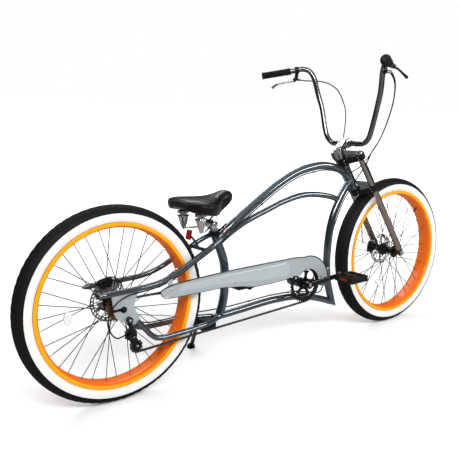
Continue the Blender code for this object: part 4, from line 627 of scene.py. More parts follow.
def frame_tubes():
    """The smooth painted tubes over the frame's solids."""
    for name, (points, radius, last) in TUBES.items():
        route = curve_through(points, TUBE_STEP)
        radii = [radius] * len(route)
        tail = 8
        for k in range(tail):
            radii[-1 - k] = last + (radius - last) * k / tail
        bm = bmesh.new()
        tube(bm, route, radii, 32)
        if name in MITRE:
            geometry = bm.verts[:] + bm.edges[:] + bm.faces[:]
            cut = bmesh.ops.bisect_plane(bm, geom=geometry, plane_co=MITRE_CORNER, plane_no=MITRE[name],
                                         clear_outer=True)
            edges = [e for e in cut["geom_cut"] if isinstance(e, bmesh.types.BMEdge)]
            bmesh.ops.contextual_create(bm, geom=edges)
        add(name + "_dressed", bm, paint, "frame", (name,))
    for name, (points, radius) in STAYS.items():
        for side, sign in SIDES:
            route = curve_through([(x, sign * y, z) for x, y, z in points], TUBE_STEP)
            radii = [radius] * len(route)
            if name == "seat_stay":
                radii[0] = radius * 0.55
                radii[1] = radius * 0.9
            bm = bmesh.new()
            tube(bm, route, radii, 28)
            add("%s_%s_dressed" % (name, side), bm, paint, "frame", ("%s_%s" % (name, side),))
    bm = bmesh.new()
    low = HEAD_BOTTOM
    high = HEAD_TOP
    profile = [(0.015, low), (0.0196, low), (0.0198, low + 0.008), (0.0182, low + 0.011), (0.018, low + 0.06),
               (0.0182, high - 0.011), (0.0198, high - 0.008), (0.0196, high), (0.015, high)]
    lathe(bm, profile, STEER_FOOT, "steer", 48)
    add("head_tube_dressed", bm, paint, "frame", ("head_tube",))
    for label, base, top in (("lower", low - 0.008, low - 0.0003), ("upper", high + 0.0003, high + 0.008)):
        bm = bmesh.new()
        mid = 0.5 * (base + top)
        lathe(bm, [(0.013, base), (0.0206, base), (0.0213, base + 0.0012), (0.0205, mid),
                   (0.0213, top - 0.0012),
                   (0.0206, top), (0.013, top)], STEER_FOOT, "steer", 48)
        add("headset_cup_%s_dressed" % label, bm, black, "frame", ("headset_cup_" + label,))
    bm = bmesh.new()
    half = [(0.009, 0.034), (0.0165, 0.034), (0.0172, 0.033), (0.0172, 0.031), (0.02, 0.0308), (0.021, 0.03)]
    lathe(bm, mirrored(half), BB, segments=48)
    add("bottom_bracket_shell_dressed", bm, paint, "frame", ("bottom_bracket_shell",))


def hex_nut(bm, start, way, radius, height):
    """A flanged nut with a chamfered top."""
    way = Vector(way).normalized()
    start = Vector(start)
    tube(bm, [start, start + way * height * 0.22], radius * 1.2, 28)
    stops = [0.22, 0.88, 1.0]
    tube(bm, [start + way * height * s for s in stops], [radius, radius, radius * 0.86], HEXAGON)


def rear_end():
    """Dropout plates, axles with their nuts, the bridge with its reflector, and the seat collar."""
    outline = [
        (-0.04, 0.401), (0.064, 0.404), (0.054, 0.39), (0.046, 0.376), (0.041, 0.36),
        (0.04, 0.347), (0.045, 0.33), (0.054, 0.31), (0.066, 0.286), (0.04, 0.284),
        (0.006, 0.294), (-0.012, 0.305), (-0.028, 0.318), (-0.034, 0.335), (-0.0345, 0.3377),
        (0.008, 0.3377), (0.011, 0.34), (0.0122, 0.343), (0.011, 0.346), (0.008, 0.3483),
        (-0.0355, 0.3483),
    ]
    for side, sign in SIDES:
        bm = bmesh.new()
        slab(bm, outline, sign * DROPOUT_Y - 0.003, sign * DROPOUT_Y + 0.003)
        add("dropout_%s_dressed" % side, bm, silver, "frame", ("dropout_" + side,),
            bevel=0.0009)
    for label, hub, face, body in (("rear", REAR_HUB, 0.0738, "frame"),
                                   ("front", FRONT_HUB, 0.0753, "steering")):
        bm = bmesh.new()
        bar(bm, hub, LEFT, (-face - 0.0125, -face - 0.0118, face + 0.0118, face + 0.0125),
            [0.004, 0.0049, 0.0049, 0.004], 24)
        for sign in (1.0, -1.0):
            hex_nut(bm, hub + Vector((0.0, sign * face, 0.0)), (0.0, sign, 0.0), 0.0092, 0.0072)
        finish = silver_bolt if label == "front" else black
        add(label + "_axle_dressed", bm, finish, body, (label + "_axle",), smooth=30.0)
    bm = bmesh.new()
    bar(bm, Vector((0.344, 0.0, 0.4925)), LEFT, (-0.046, 0.046), 0.007, 24)
    tube(bm, curve_through([(0.344, 0, 0.4925), (0.33, 0, 0.518), (0.304, 0, 0.5486)], 0.01), 0.0042, 16)
    add("stay_bridge_dressed", bm, paint, "frame", ("stay_bridge",))
    facing = Vector((-0.97, 0.0, 0.24)).normalized()
    up = Vector((0.24, 0.0, 0.97)).normalized()
    back = Vector((0.306, 0.0, 0.547))
    for label, depth, size, finish, slot, old in (
        ("reflector_shell", 0.007, 1.0, plastic, "black_plastic", ()),
        ("rear_reflector_dressed", 0.0088, 0.88, red, "red_plastic", ("rear_reflector",)),
    ):
        bm = bmesh.new()
        rings = []
        for step in (0.0, depth):
            ring = []
            for y, z in ((-0.0135, -0.015), (-0.0105, -0.018), (0.0105, -0.018), (0.0135, -0.015),
                         (0.0135, 0.015), (0.0105, 0.018), (-0.0105, 0.018), (-0.0135, 0.015)):
                ring.append(bm.verts.new(back + facing * step + up * z * size + Vector((0.0, y * size, 0.0))))
            rings.append(ring)
        bridge(bm, rings)
        add(label, bm, finish, "frame", old, bevel=0.0008)
    bm = bmesh.new()
    bar(bm, SEAT_TUBE_TOP, SEAT_TUBE_WAY, (-0.013, -0.0122, -0.0075, -0.0065, 0.0012, 0.0022),
        [0.0176, 0.0196, 0.0204, 0.0196, 0.0204, 0.0184], 40)
    ahead = Vector((0.937, 0.0, 0.349))
    ear = SEAT_TUBE_TOP - SEAT_TUBE_WAY * 0.005 + ahead * 0.021
    bar(bm, ear, LEFT, (-0.01, 0.01), 0.0052, 20)
    add("seat_collar", bm, black, "frame")
    bm = bmesh.new()
    lever = [ear + Vector((0, -0.011, 0)), ear + Vector((0.004, -0.014, 0.005)),
             ear + Vector((0.01, -0.02, 0.014)),
             ear + Vector((0.018, -0.028, 0.025))]
    tube(bm, curve_through(lever, FINE_STEP), 0.0038, 16, 0.7)
    add("seat_collar_lever", bm, black, "frame")
    bm = bmesh.new()
    ring_spot = Vector((0.462, 0.0, 0.5433))
    ring_way = Vector((0.5, 0.0, 0.285)).normalized()
    bar(bm, ring_spot, ring_way, (-0.0028, -0.002, 0.002, 0.0028), [0.0158, 0.0167, 0.0167, 0.0158], 36)
    add("top_tube_band", bm, red_enamel, "frame")


def crown_shape(low, high):
    """The crown's hull round its three bosses, with a waist between them."""
    bm = bmesh.new()
    for fore, y, radius in ((0.0, 0.0, 0.0228), (FORK_OFFSET, LEG_Y, 0.0207), (FORK_OFFSET, -LEG_Y, 0.0207)):
        for k in range(28):
            angle = 2.0 * math.pi * k / 28
            for up in (low, high):
                bm.verts.new(steer(fore + radius * math.cos(angle), y + radius * math.sin(angle), up))
    bmesh.ops.convex_hull(bm, input=bm.verts[:])
    loose = [v for v in bm.verts if not v.link_faces]
    bmesh.ops.delete(bm, geom=loose, context="VERTS")
    bmesh.ops.dissolve_limit(bm, angle_limit=math.radians(1.0), verts=bm.verts[:], edges=bm.edges[:])
    return bm


def fork():
    """Crowns with their pinch bolts, the legs, the steerer and the stem."""
    for label, low, high in (("lower", 0.366, 0.392), ("upper", 0.5308, CROWN_TOP)):
        bm = crown_shape(low, high)
        add("fork_crown_%s_dressed" % label, bm, black_worn, "steering",
            ("fork_crown_" + label,),
            bevel=0.0022)
        bm = bmesh.new()
        mid = 0.5 * (low + high)
        for sign in (1.0, -1.0):
            for up in (mid - 0.0065, mid + 0.0065):
                start = steer(FORK_OFFSET - 0.0185, sign * 0.074, up)
                bolt(bm, start, AXIS_FORE * -1.0, 0.0034, 0.004)
                start = steer(-0.01, sign * 0.0205, up)
                bolt(bm, start, AXIS_FORE * -0.6 + Vector((0.0, sign * 0.8, 0.0)), 0.0034, 0.004)
        add("fork_crown_%s_bolts" % label, bm, silver_bolt, "steering", smooth=30.0)
    top = CROWN_TOP + 0.009
    for side, sign in SIDES:
        y = sign * LEG_Y
        bm = bmesh.new()
        stations = [
            (0.02, 0.01), (0.023, 0.0132), (0.03, 0.0145), (0.042, 0.0145), (0.0435, 0.0139),
            (0.045, 0.0139), (0.0465, 0.0143), (0.35, 0.0143), (top - 0.0045, 0.0143), (top - 0.0015, 0.0128),
            (top, 0.01),
        ]
        bar(bm, steer(FORK_OFFSET, y, 0.0), AXIS_UP, *zip(*stations), 40)
        add("fork_leg_%s_dressed" % side, bm, smoked, "steering", ("fork_leg_" + side,),
            smooth=30.0)
        bm = bmesh.new()
        flat = []
        for fore, up in ((-0.011, 0.03), (-0.0145, 0.004), (-0.0125, -0.007), (-0.008, -0.0135),
                         (0.008, -0.0135),
                         (0.0125, -0.007), (0.0145, 0.004), (0.011, 0.03)):
            spot = steer(FORK_OFFSET + fore, 0.0, up)
            flat.append((spot.x, spot.z))
        slab(bm, flat, y - 0.005, y + 0.005)
        add("fork_end_" + side, bm, black, "steering", bevel=0.0012)
        bm = bmesh.new()
        bolt(bm, steer(FORK_OFFSET, y, top - 0.0008), AXIS_UP, 0.005, 0.002)
        add("fork_leg_cap_" + side, bm, black, "steering")
    bm = bmesh.new()
    bar(bm, STEER_FOOT, AXIS_UP, (0.366, 0.6), 0.0124, 32)
    add("steerer_dressed", bm, chrome, "steering", ("steerer",))

    bm = bmesh.new()
    bar(bm, STEER_FOOT, AXIS_UP, (CROWN_TOP + 0.0003, CROWN_TOP + 0.002, 0.583, 0.585, 0.608, 0.6105, 0.612),
        [0.018, 0.019, 0.019, 0.0198, 0.0198, 0.0185, 0.015], 40)
    sides = []
    for fore, up in ((0.004, -0.0115), (0.04, -0.0155), (0.05, -0.017), (0.05, 0.017), (0.04, 0.0155),
                     (0.004, 0.01)):
        spot = steer(fore, 0.0, STEM_HEIGHT + up)
        sides.append((spot.x, spot.z))
    slab(bm, sides, -0.018, 0.018)
    stations = [(-0.027, 0.0175), (-0.0262, 0.019), (-0.024, 0.0198), (-0.007, 0.0198), (-0.006, 0.0188),
                (0.006, 0.0188), (0.007, 0.0198), (0.024, 0.0198), (0.0262, 0.019), (0.027, 0.0175)]
    bar(bm, CLAMP, LEFT, *zip(*stations), 40)
    add("stem_dressed", bm, alloy, "steering", ("stem",), smooth=35.0, bevel=0.001)
    bm = bmesh.new()
    for y in (-0.0155, 0.0155):
        for fore in (-0.013, 0.013):
            start = CLAMP + AXIS_FORE * fore + AXIS_UP * 0.014 + Vector((0.0, y, 0.0))
            bolt(bm, start, AXIS_UP, 0.004, 0.005)
    bolt(bm, steer(0.0, 0.0, 0.6115), AXIS_UP, 0.0055, 0.003)
    add("stem_bolts", bm, silver_bolt, "steering", smooth=30.0)


BAR_HALF = [
    (0.0, 0.032, 0.0), (0.008, 0.07, -0.003), (0.016, 0.095, 0.002), (0.015, 0.117, 0.02),
    (0.014, 0.133, 0.055), (0.016, 0.158, 0.148), (0.01, 0.178, 0.21), (-0.001, 0.194, 0.28),
    (-0.012, 0.213, 0.313), (-0.035, 0.236, 0.323), (-0.072, 0.267, 0.315), (-0.165, 0.357, 0.297),
]


def at_bar(x, y, z):
    """A point counted from the middle of the bar clamp."""
    return CLAMP + Vector((x, y, z))


def handlebar():
    """The high bar and its ribbed grips."""
    points = [at_bar(x, -y, z) for x, y, z in reversed(BAR_HALF)] + [at_bar(0.0, 0.0, 0.0)]
    points += [at_bar(x, y, z) for x, y, z in BAR_HALF]
    route = curve_through(points, CABLE_STEP)
    bm = bmesh.new()
    tube(bm, route, BAR_RADIUS, 32)
    # The bar's darkened chrome is a painted reflection.
    add("handlebar_dressed", bm, bar_chrome_painted_dark, "steering", ("handlebar",))
    for side, sign in SIDES:
        start = at_bar(-0.0745, sign * 0.2694, 0.3145)
        stop = at_bar(-0.1665, sign * 0.3585, 0.2968)
        way = (stop - start).normalized()
        length = (stop - start).length
        stations = [(0.0, 0.0135), (0.0008, 0.0158), (0.004, 0.016), (0.005, 0.0142)]
        place = 0.008
        while place < length - 0.009:
            stations += [(place, 0.014), (place + 0.0008, 0.0151), (place + 0.0026, 0.0151),
                         (place + 0.0034, 0.014)]
            place += 0.0052
        stations += [(length - 0.0065, 0.0142), (length - 0.0055, 0.0161), (length - 0.0015, 0.0161),
                     (length, 0.013)]
        bm = bmesh.new()
        bar(bm, start, way, *zip(*stations), 36)
        add("grip_%s_dressed" % side, bm, grip_rubber, "steering", ("grip_" + side,), smooth=45.0)


RIGHT_BLADE = [at_bar(-0.04, -0.264, 0.296), at_bar(-0.03, -0.274, 0.292), at_bar(-0.024, -0.282, 0.288),
               at_bar(-0.019, -0.292, 0.279), at_bar(-0.015, -0.308, 0.264), at_bar(-0.013, -0.32, 0.253)]


def controls():
    """Brake levers with their clamps, and the grip shifter."""
    for side, sign in SIDES:
        def spot(x, y, z):
            return at_bar(x, sign * y, z)

        bm = bmesh.new()
        way = (spot(-0.06, 0.257, 0.3176) - spot(-0.047, 0.246, 0.3205)).normalized()
        start = spot(-0.047, 0.246, 0.3205)
        bar(bm, start, way, (0.0, 0.001, 0.016, 0.017), [0.0146, 0.0158, 0.0158, 0.0146], 32)
        body = [spot(-0.0535, 0.2515, 0.306), spot(-0.0545, 0.252, 0.293), spot(-0.058, 0.254, 0.281),
                spot(-0.068, 0.259, 0.2735)]
        tube(bm, curve_through(body, FINE_STEP), 0.0088, 24, 0.8)
        if side == "right":
            cone = [at_bar(-0.047, -0.245, 0.313), at_bar(-0.04, -0.256, 0.306), at_bar(-0.03, -0.266, 0.299),
                    at_bar(-0.024, -0.274, 0.293)]
            tube(bm, cone, [0.015, 0.0125, 0.0095, 0.007], 24)
        barrel_way = (spot(-0.03, 0.24, 0.274) - spot(-0.056, 0.253, 0.28)).normalized()
        nose = spot(-0.056, 0.253, 0.28)
        bar(bm, nose, barrel_way, (0.0, 0.014, 0.015, 0.021), [0.0052, 0.005, 0.0036, 0.0034], 20)
        name = "brake_lever_" + side
        add(name + "_mount", bm, black, "steering", smooth=40.0, bevel=0.0005)
        bm = bmesh.new()
        blade = RIGHT_BLADE if side == "right" else [
            spot(-0.064, 0.257, 0.2755), spot(-0.08, 0.268, 0.27), spot(-0.098, 0.28, 0.2662),
            spot(-0.124, 0.295, 0.2602), spot(-0.133, 0.307, 0.253), spot(-0.1375, 0.319, 0.245)]
        route = curve_through(blade, FINE_STEP)
        radii = []
        for k in range(len(route)):
            share = k / (len(route) - 1)
            radii.append(0.0056 - 0.0014 * math.sin(math.pi * share) + (0.001 if share > 0.95 else 0.0))
        tube(bm, route, radii, 20, 0.75)
        bmesh.ops.create_icosphere(bm, subdivisions=3, radius=0.0058, matrix=Matrix.Translation(route[-1]))
        finish = alloy if side == "left" else black
        add(name + "_blade", bm, finish, "steering", (name,))
        bm = bmesh.new()
        bolt(bm, spot(-0.0655, 0.258, 0.283), (0.0, 0.0, 1.0), 0.003, 0.0022)
        add(name + "_pivot", bm, silver_bolt, "steering")
    bm = bmesh.new()
    start = at_bar(-0.041, -0.2408, 0.3222)
    way = (at_bar(-0.0262, -0.2282, 0.3202) - start).normalized()
    stations = [(-0.004, 0.019), (-0.0034, 0.0208), (-0.001, 0.0214), (0.007, 0.0214), (0.0085, 0.0208),
                (0.015, 0.0205), (0.0175, 0.0192), (0.0185, 0.016)]
    bar(bm, start, way, *zip(*stations), 44)
    add("grip_shifter_dressed", bm, plastic, "steering", ("grip_shifter",), smooth=35.0)
    bm = bmesh.new()
    for k in range(22):
        angle = 2.0 * math.pi * k / 22
        side = (UP - way * UP.dot(way)).normalized()
        out = side * math.cos(angle) + way.cross(side) * math.sin(angle)
        tube(bm, [start + out * 0.0208, start + way * 0.0068 + out * 0.0208], 0.0011, 8)
    add("grip_shifter_ribs", bm, grip_rubber, "steering")


def toothed(bm, centre, teeth, tip, root, inner, y_low, y_high, phase=0.0):
    """A flat toothed ring square to Y."""
    shape = ((0.0, root), (0.16, root), (0.3, root + (tip - root) * 0.55), (0.42, tip), (0.58, tip),
             (0.7, root + (tip - root) * 0.55), (0.84, root))
    outer = []
    for k in range(teeth):
        for share, radius in shape:
            outer.append((phase + 2.0 * math.pi * (k + share) / teeth, radius))
    rings = []
    for y, which in ((y_low, "out"), (y_high, "out"), (y_high, "in"), (y_low, "in")):
        ring = []
        for angle, radius in outer:
            reach = radius if which == "out" else inner
            ring.append(bm.verts.new((centre.x + reach * math.cos(angle), y,
                                      centre.z + reach * math.sin(angle))))
        rings.append(ring)
    bridge(bm, rings, loop=True)


CHAIN_Y = -0.056
PITCH = 0.0127
RING_RADIUS = PITCH / (2.0 * math.sin(math.pi / RING_TEETH))
COG_RADIUS = PITCH / (2.0 * math.sin(math.pi / COG_TEETH))
PULLEY_RADIUS = PITCH / (2.0 * math.sin(math.pi / PULLEY_TEETH))
GUIDE = Vector((0.027, 0.0, HUB_Z - 0.095))
TENSION = Vector((0.051, 0.0, HUB_Z - 0.141))


def chain_pins():
    """The places of the chain's pins round the ring, the cog and both pulleys, in (x, z)."""
    turns = [
        (Vector((BB.x, BB.z)), RING_RADIUS, 1.0),
        (Vector((REAR_HUB.x, REAR_HUB.z)), COG_RADIUS, 1.0),
        (Vector((GUIDE.x, GUIDE.z)), PULLEY_RADIUS, -1.0),
        (Vector((TENSION.x, TENSION.z)), PULLEY_RADIUS, 1.0),
    ]
    touches = []
    for k, (centre, radius, sense) in enumerate(turns):
        other, other_radius, other_sense = turns[(k + 1) % len(turns)]
        along = other - centre
        step = radius - other_radius if sense == other_sense else radius + other_radius
        heading = math.atan2(along.y, along.x) + sense * math.asin(step / along.length)
        out = Vector((math.sin(heading), -math.cos(heading)))
        touches.append((centre + radius * out * sense, other + other_radius * out * other_sense))
    stretches = []
    for k, (centre, radius, sense) in enumerate(turns):
        meet = touches[k - 1][1] - centre
        leave = touches[k][0] - centre
        start = math.atan2(meet.y, meet.x)
        turned_by = (math.atan2(leave.y, leave.x) - start) * sense % (2.0 * math.pi)
        stretches.append(("arc", centre, radius, start, turned_by * sense, radius * turned_by))
        span = touches[k][1] - touches[k][0]
        stretches.append(("line", touches[k][0], span, 0.0, 0.0, span.length))
    total = sum(s[-1] for s in stretches)
    links = 2 * round(total / PITCH / 2.0)
    pins = []
    for k in range(links):
        left = k * total / links
        for kind, first, second, start, turned_by, length in stretches:
            if left <= length:
                break
            left -= length
        if kind == "arc":
            angle = start + turned_by * left / length
            pins.append(first + second * Vector((math.cos(angle), math.sin(angle))))
        else:
            pins.append(first + second * left / length)
    return pins


def chain():
    """The roller chain link by link."""
    pins = chain_pins()
    plates = bmesh.new()
    rollers = bmesh.new()
    for k, pin in enumerate(pins):
        after = pins[(k + 1) % len(pins)]
        way = (after - pin).normalized()
        across = Vector((-way.y, way.x))
        outline = []
        for centre, sign in ((after, 1.0), (pin, -1.0)):
            for j in range(6):
                angle = math.radians(-75.0 + 30.0 * j)
                offset = way * math.cos(angle) * sign + across * math.sin(angle) * sign
                outline.append(centre + offset * LINK_END_RADIUS)
            middle = (pin + after) / 2.0
            outline.append(middle + across * LINK_WAIST_HALF * sign)
        spread = (0.0025, 0.0034) if k % 2 else (0.0015, 0.0024)
        for sign in (1.0, -1.0):
            low, high = sorted((CHAIN_Y + sign * spread[0], CHAIN_Y + sign * spread[1]))
            slab(plates, [(p.x, p.y) for p in outline], low, high)
        spot = Vector((pin.x, 0.0, pin.y))
        for radius, half in ((ROLLER_RADIUS, ROLLER_HALF), (PIN_RADIUS, PIN_HALF)):
            bar(rollers, spot, LEFT, (CHAIN_Y - half, CHAIN_Y + half), radius, 10)
    add("chain_plates", plates, link_steel, "frame", ("chain",), smooth=30.0)
    add("chain_rollers", rollers, steel_pin, "frame", smooth=40.0)


def drive():
    """Chainring with its teeth and round windows, crank arms, and their bolts."""
    pins = chain_pins()
    first = Vector((pins[0].x - BB.x, pins[0].y - BB.z))
    phase = math.atan2(first.y, first.x)
    bm = bmesh.new()
    toothed(bm, BB, RING_TEETH, RING_RADIUS + 0.0022, RING_RADIUS - 0.004, RING_INNER_RADIUS, CHAIN_Y - 0.001,
            CHAIN_Y + 0.001, phase)
    low = CHAIN_Y - 0.0015
    high = CHAIN_Y + 0.0015
    lathe(bm, [(0.06, low), (0.069, low), (0.069, high), (0.06, high)], BB, segments=96)
    window_radius = 0.019
    window_reach = 0.043
    for k in range(5):
        middle = CRANK_ANGLE + 2.0 * math.pi * k / 5
        sides = []
        for j in range(21):
            radius = RING_CENTRE_RADIUS + (RING_INNER_RADIUS - RING_CENTRE_RADIUS) * j / 20
            share = (radius ** 2 + window_reach ** 2 - window_radius ** 2) / (2.0 * radius * window_reach)
            taken = math.acos(max(-1.0, min(1.0, share)))
            sides.append((radius, math.pi / 5.0 - taken))
        outline = [(BB.x + r * math.cos(middle + a), BB.z + r * math.sin(middle + a)) for r, a in sides]
        outline += [(BB.x + r * math.cos(middle - a), BB.z + r * math.sin(middle - a)) for r,
                    a in reversed(sides)]
        slab(bm, outline, low, high)
    lathe(bm, [(0.009, low), (0.0235, low), (0.0235, high), (0.009, high)], BB, segments=48)
    add("chainring_dressed", bm, black, "crankset", ("chainring",), smooth=30.0)
    bm = bmesh.new()
    for k in range(5):
        angle = CRANK_ANGLE + 2.0 * math.pi * k / 5
        spot = BB + Vector((math.cos(angle) * 0.056, low, math.sin(angle) * 0.056))
        bolt(bm, spot, (0.0, -1.0, 0.0), 0.003, 0.002)
    add("chainring_bolts", bm, silver_bolt, "crankset", smooth=30.0)
    bm = bmesh.new()
    bar(bm, BB, LEFT, (-0.0765, 0.0765), 0.0083, 28)
    add("crank_spindle_dressed", bm, black, "crankset", ("crank_spindle",))
    reach = ray(CRANK_ANGLE)
    for side, sign in SIDES:
        start = BB + Vector((0.0, sign * 0.084, 0.0))
        stop = start - reach * sign * CRANK_LENGTH + Vector((0.0, sign * 0.012, 0.0))
        bm = bmesh.new()
        shares = [0.0, 0.06, 0.15, 0.3, 0.5, 0.7, 0.85, 0.94, 1.0]
        widths = [0.0135, 0.014, 0.0125, 0.0115, 0.0108, 0.0104, 0.0104, 0.0112, 0.0108]
        tube(bm, [start + (stop - start) * s for s in shares], widths, 32, 0.5)
        for spot, radius in ((start, 0.0163), (stop, 0.0133)):
            levels = (-0.007, -0.0062, 0.0062, 0.007)
            rounds = (radius - 0.001, radius, radius, radius - 0.001)
            bar(bm, spot, LEFT, levels, rounds, 40)
        add("crank_arm_%s_dressed" % side, bm, black, "crankset", ("crank_arm_" + side,),
            smooth=35.0)
        bm = bmesh.new()
        bolt(bm, start + Vector((0.0, sign * 0.007, 0.0)), (0.0, sign, 0.0), 0.0065, 0.004)
        add("crank_bolt_" + side, bm, silver_bolt, "crankset", smooth=30.0)


def cogs_and_derailleur():
    """The cogs on the rear hub, and the derailleur with its cage and toothed pulleys."""
    bm = bmesh.new()
    pins = chain_pins()
    near = min(pins, key=lambda p: (Vector((p.x, p.y)) - Vector((REAR_HUB.x - COG_RADIUS,
                                                                 REAR_HUB.z))).length)
    phase = math.atan2(near.y - REAR_HUB.z, near.x - REAR_HUB.x)
    for teeth, y in ((COG_TEETH, CHAIN_Y), (16, -0.049), (18, -0.045), (21, -0.041), (24, -0.037)):
        pitch = PITCH / (2.0 * math.sin(math.pi / teeth))
        toothed(bm, REAR_HUB, teeth, pitch + 0.002, pitch - 0.0038, 0.018, y - 0.0009, y + 0.0009, phase)
    lathe(bm, [(0.012, -0.0348), (0.0196, -0.0348), (0.02, -0.0355), (0.02, -0.0585), (0.0185, -0.06),
               (0.012, -0.06)],
          REAR_HUB, segments=48)
    add("freewheel_dressed", bm, bronze, "rear_wheel", ("freewheel",), smooth=30.0)

    line = (TENSION - GUIDE).normalized()
    across = Vector((line.z, 0.0, -line.x))
    corners = []
    for centre, start, stop, radius in ((GUIDE, 95.0, 265.0, 0.0115), (TENSION, -85.0, 85.0, 0.013)):
        for k in range(9):
            angle = math.radians(start + (stop - start) * k / 8)
            spot = centre + (line * math.cos(angle) + across * math.sin(angle)) * radius
            corners.append(spot)
    bm = bmesh.new()
    for low, high in ((-0.0627, -0.0609), (-0.0511, -0.0493)):
        slab(bm, [(c.x, c.z) for c in corners], low, high)
    add("derailleur_cage", bm, black, "frame", ("rear_derailleur",), bevel=0.0004)
    bm = bmesh.new()
    for centre in (GUIDE, TENSION):
        toothed(bm, centre, PULLEY_TEETH, PULLEY_RADIUS + 0.0004, PULLEY_RADIUS - 0.0038, 0.004,
                CHAIN_Y - 0.0011, CHAIN_Y + 0.0011)
        bar(bm, centre, LEFT, (-0.0608, -0.0512), 0.0052, 20)
    add("derailleur_pulleys", bm, plastic, "frame", smooth=30.0)
    hanger = Vector((0.016, 0.0, 0.306))
    bm = bmesh.new()
    for centre, inner, outer, radius in ((hanger, -0.0738, -0.0895, 0.0108),
                                         (GUIDE, -0.0625, -0.0868, 0.0118)):
        levels = (inner, outer + 0.0012, outer)
        bar(bm, centre, LEFT, levels, [radius, radius, radius - 0.0014], 36)
    for y in (-0.0798, -0.0858):
        way = [Vector((hanger.x, y, hanger.z)), Vector((0.0185, y, 0.277)), Vector((GUIDE.x, y, GUIDE.z))]
        tube(bm, curve_through(way, MEDIUM_STEP), 0.0062, 20, 0.45)
    barrel_way = Vector((-0.62, 0.0, -0.55)).normalized()
    spot = Vector((0.013, -0.084, 0.276))
    bar(bm, spot, barrel_way, (0.0, 0.01, 0.011, 0.018), [0.0055, 0.0052, 0.0034, 0.0034], 20)
    add("derailleur_body", bm, black, "frame", smooth=35.0)
    bm = bmesh.new()
    bolt(bm, hanger + Vector((0.0, -0.0893, 0.0)), (0.0, -1.0, 0.0), 0.0042, 0.0022)
    for centre in (GUIDE, TENSION):
        bolt(bm, centre + Vector((0.0, -0.0627 if centre is TENSION else -0.0866, 0.0)), (0.0, -1.0, 0.0),
             0.0034, 0.0018)
    add("derailleur_bolts", bm, silver_bolt, "frame", smooth=30.0)


def pedals():
    """Platform pedals: serrated rails, end plates, a barrel, and reflectors in both edges."""
    reach = ray(CRANK_ANGLE)
    for side, sign in SIDES:
        centre = BB - reach * sign * CRANK_LENGTH
        body = "pedal_%s_body" % side
        near = 0.1092
        far = 0.204

        def part_block(bm, x_low, x_high, y_low, y_high, half):
            low_y, high_y = sorted((sign * y_low, sign * y_high))
            block(bm, (centre.x + x_low, low_y, centre.z - half),
                  (centre.x + x_high, high_y, centre.z + half))

        bm = bmesh.new()
        part_block(bm, -PEDAL_HALF, PEDAL_HALF, near, near + 0.007, 0.0125)
        part_block(bm, -PEDAL_HALF, PEDAL_HALF, far - 0.007, far, 0.0125)
        for low_x, high_x in ((-PEDAL_HALF, -0.0385), (0.0385, PEDAL_HALF), (-0.0135, 0.0135)):
            part_block(bm, low_x, high_x, near + 0.0065, far - 0.0065, 0.0115)
        part_block(bm, -0.039, 0.039, 0.152, 0.159, 0.0105)
        for edge in (-0.043, 0.043):
            for k in range(11):
                y = near + 0.0105 + k * 0.0073
                part_block(bm, edge - 0.004, edge + 0.004, y, y + 0.0036, 0.013)
        for k in range(5):
            y = near + 0.018 + k * 0.014
            part_block(bm, -0.01, 0.01, y, y + 0.003, 0.0129)
        add("pedal_%s_dressed" % side, bm, plastic, body, ("pedal_" + side,), bevel=0.0007)
        bm = bmesh.new()
        levels = (0.1035, 0.1095, 0.1096)
        bar(bm, Vector((centre.x, 0.0, centre.z)), LEFT * sign, levels, [0.007, 0.007, 0.0072], 24)
        add("pedal_axle_" + side, bm, silver_bolt, body)
        for edge, outward in (("front", 1.0), ("back", -1.0)):
            bm = bmesh.new()
            x_low, x_high = sorted((outward * 0.046, outward * 0.0478))
            part_block(bm, x_low, x_high, 0.134, 0.179, 0.0052)
            add("pedal_%s_reflector_%s" % (side, edge), bm, amber, body, bevel=0.0006)


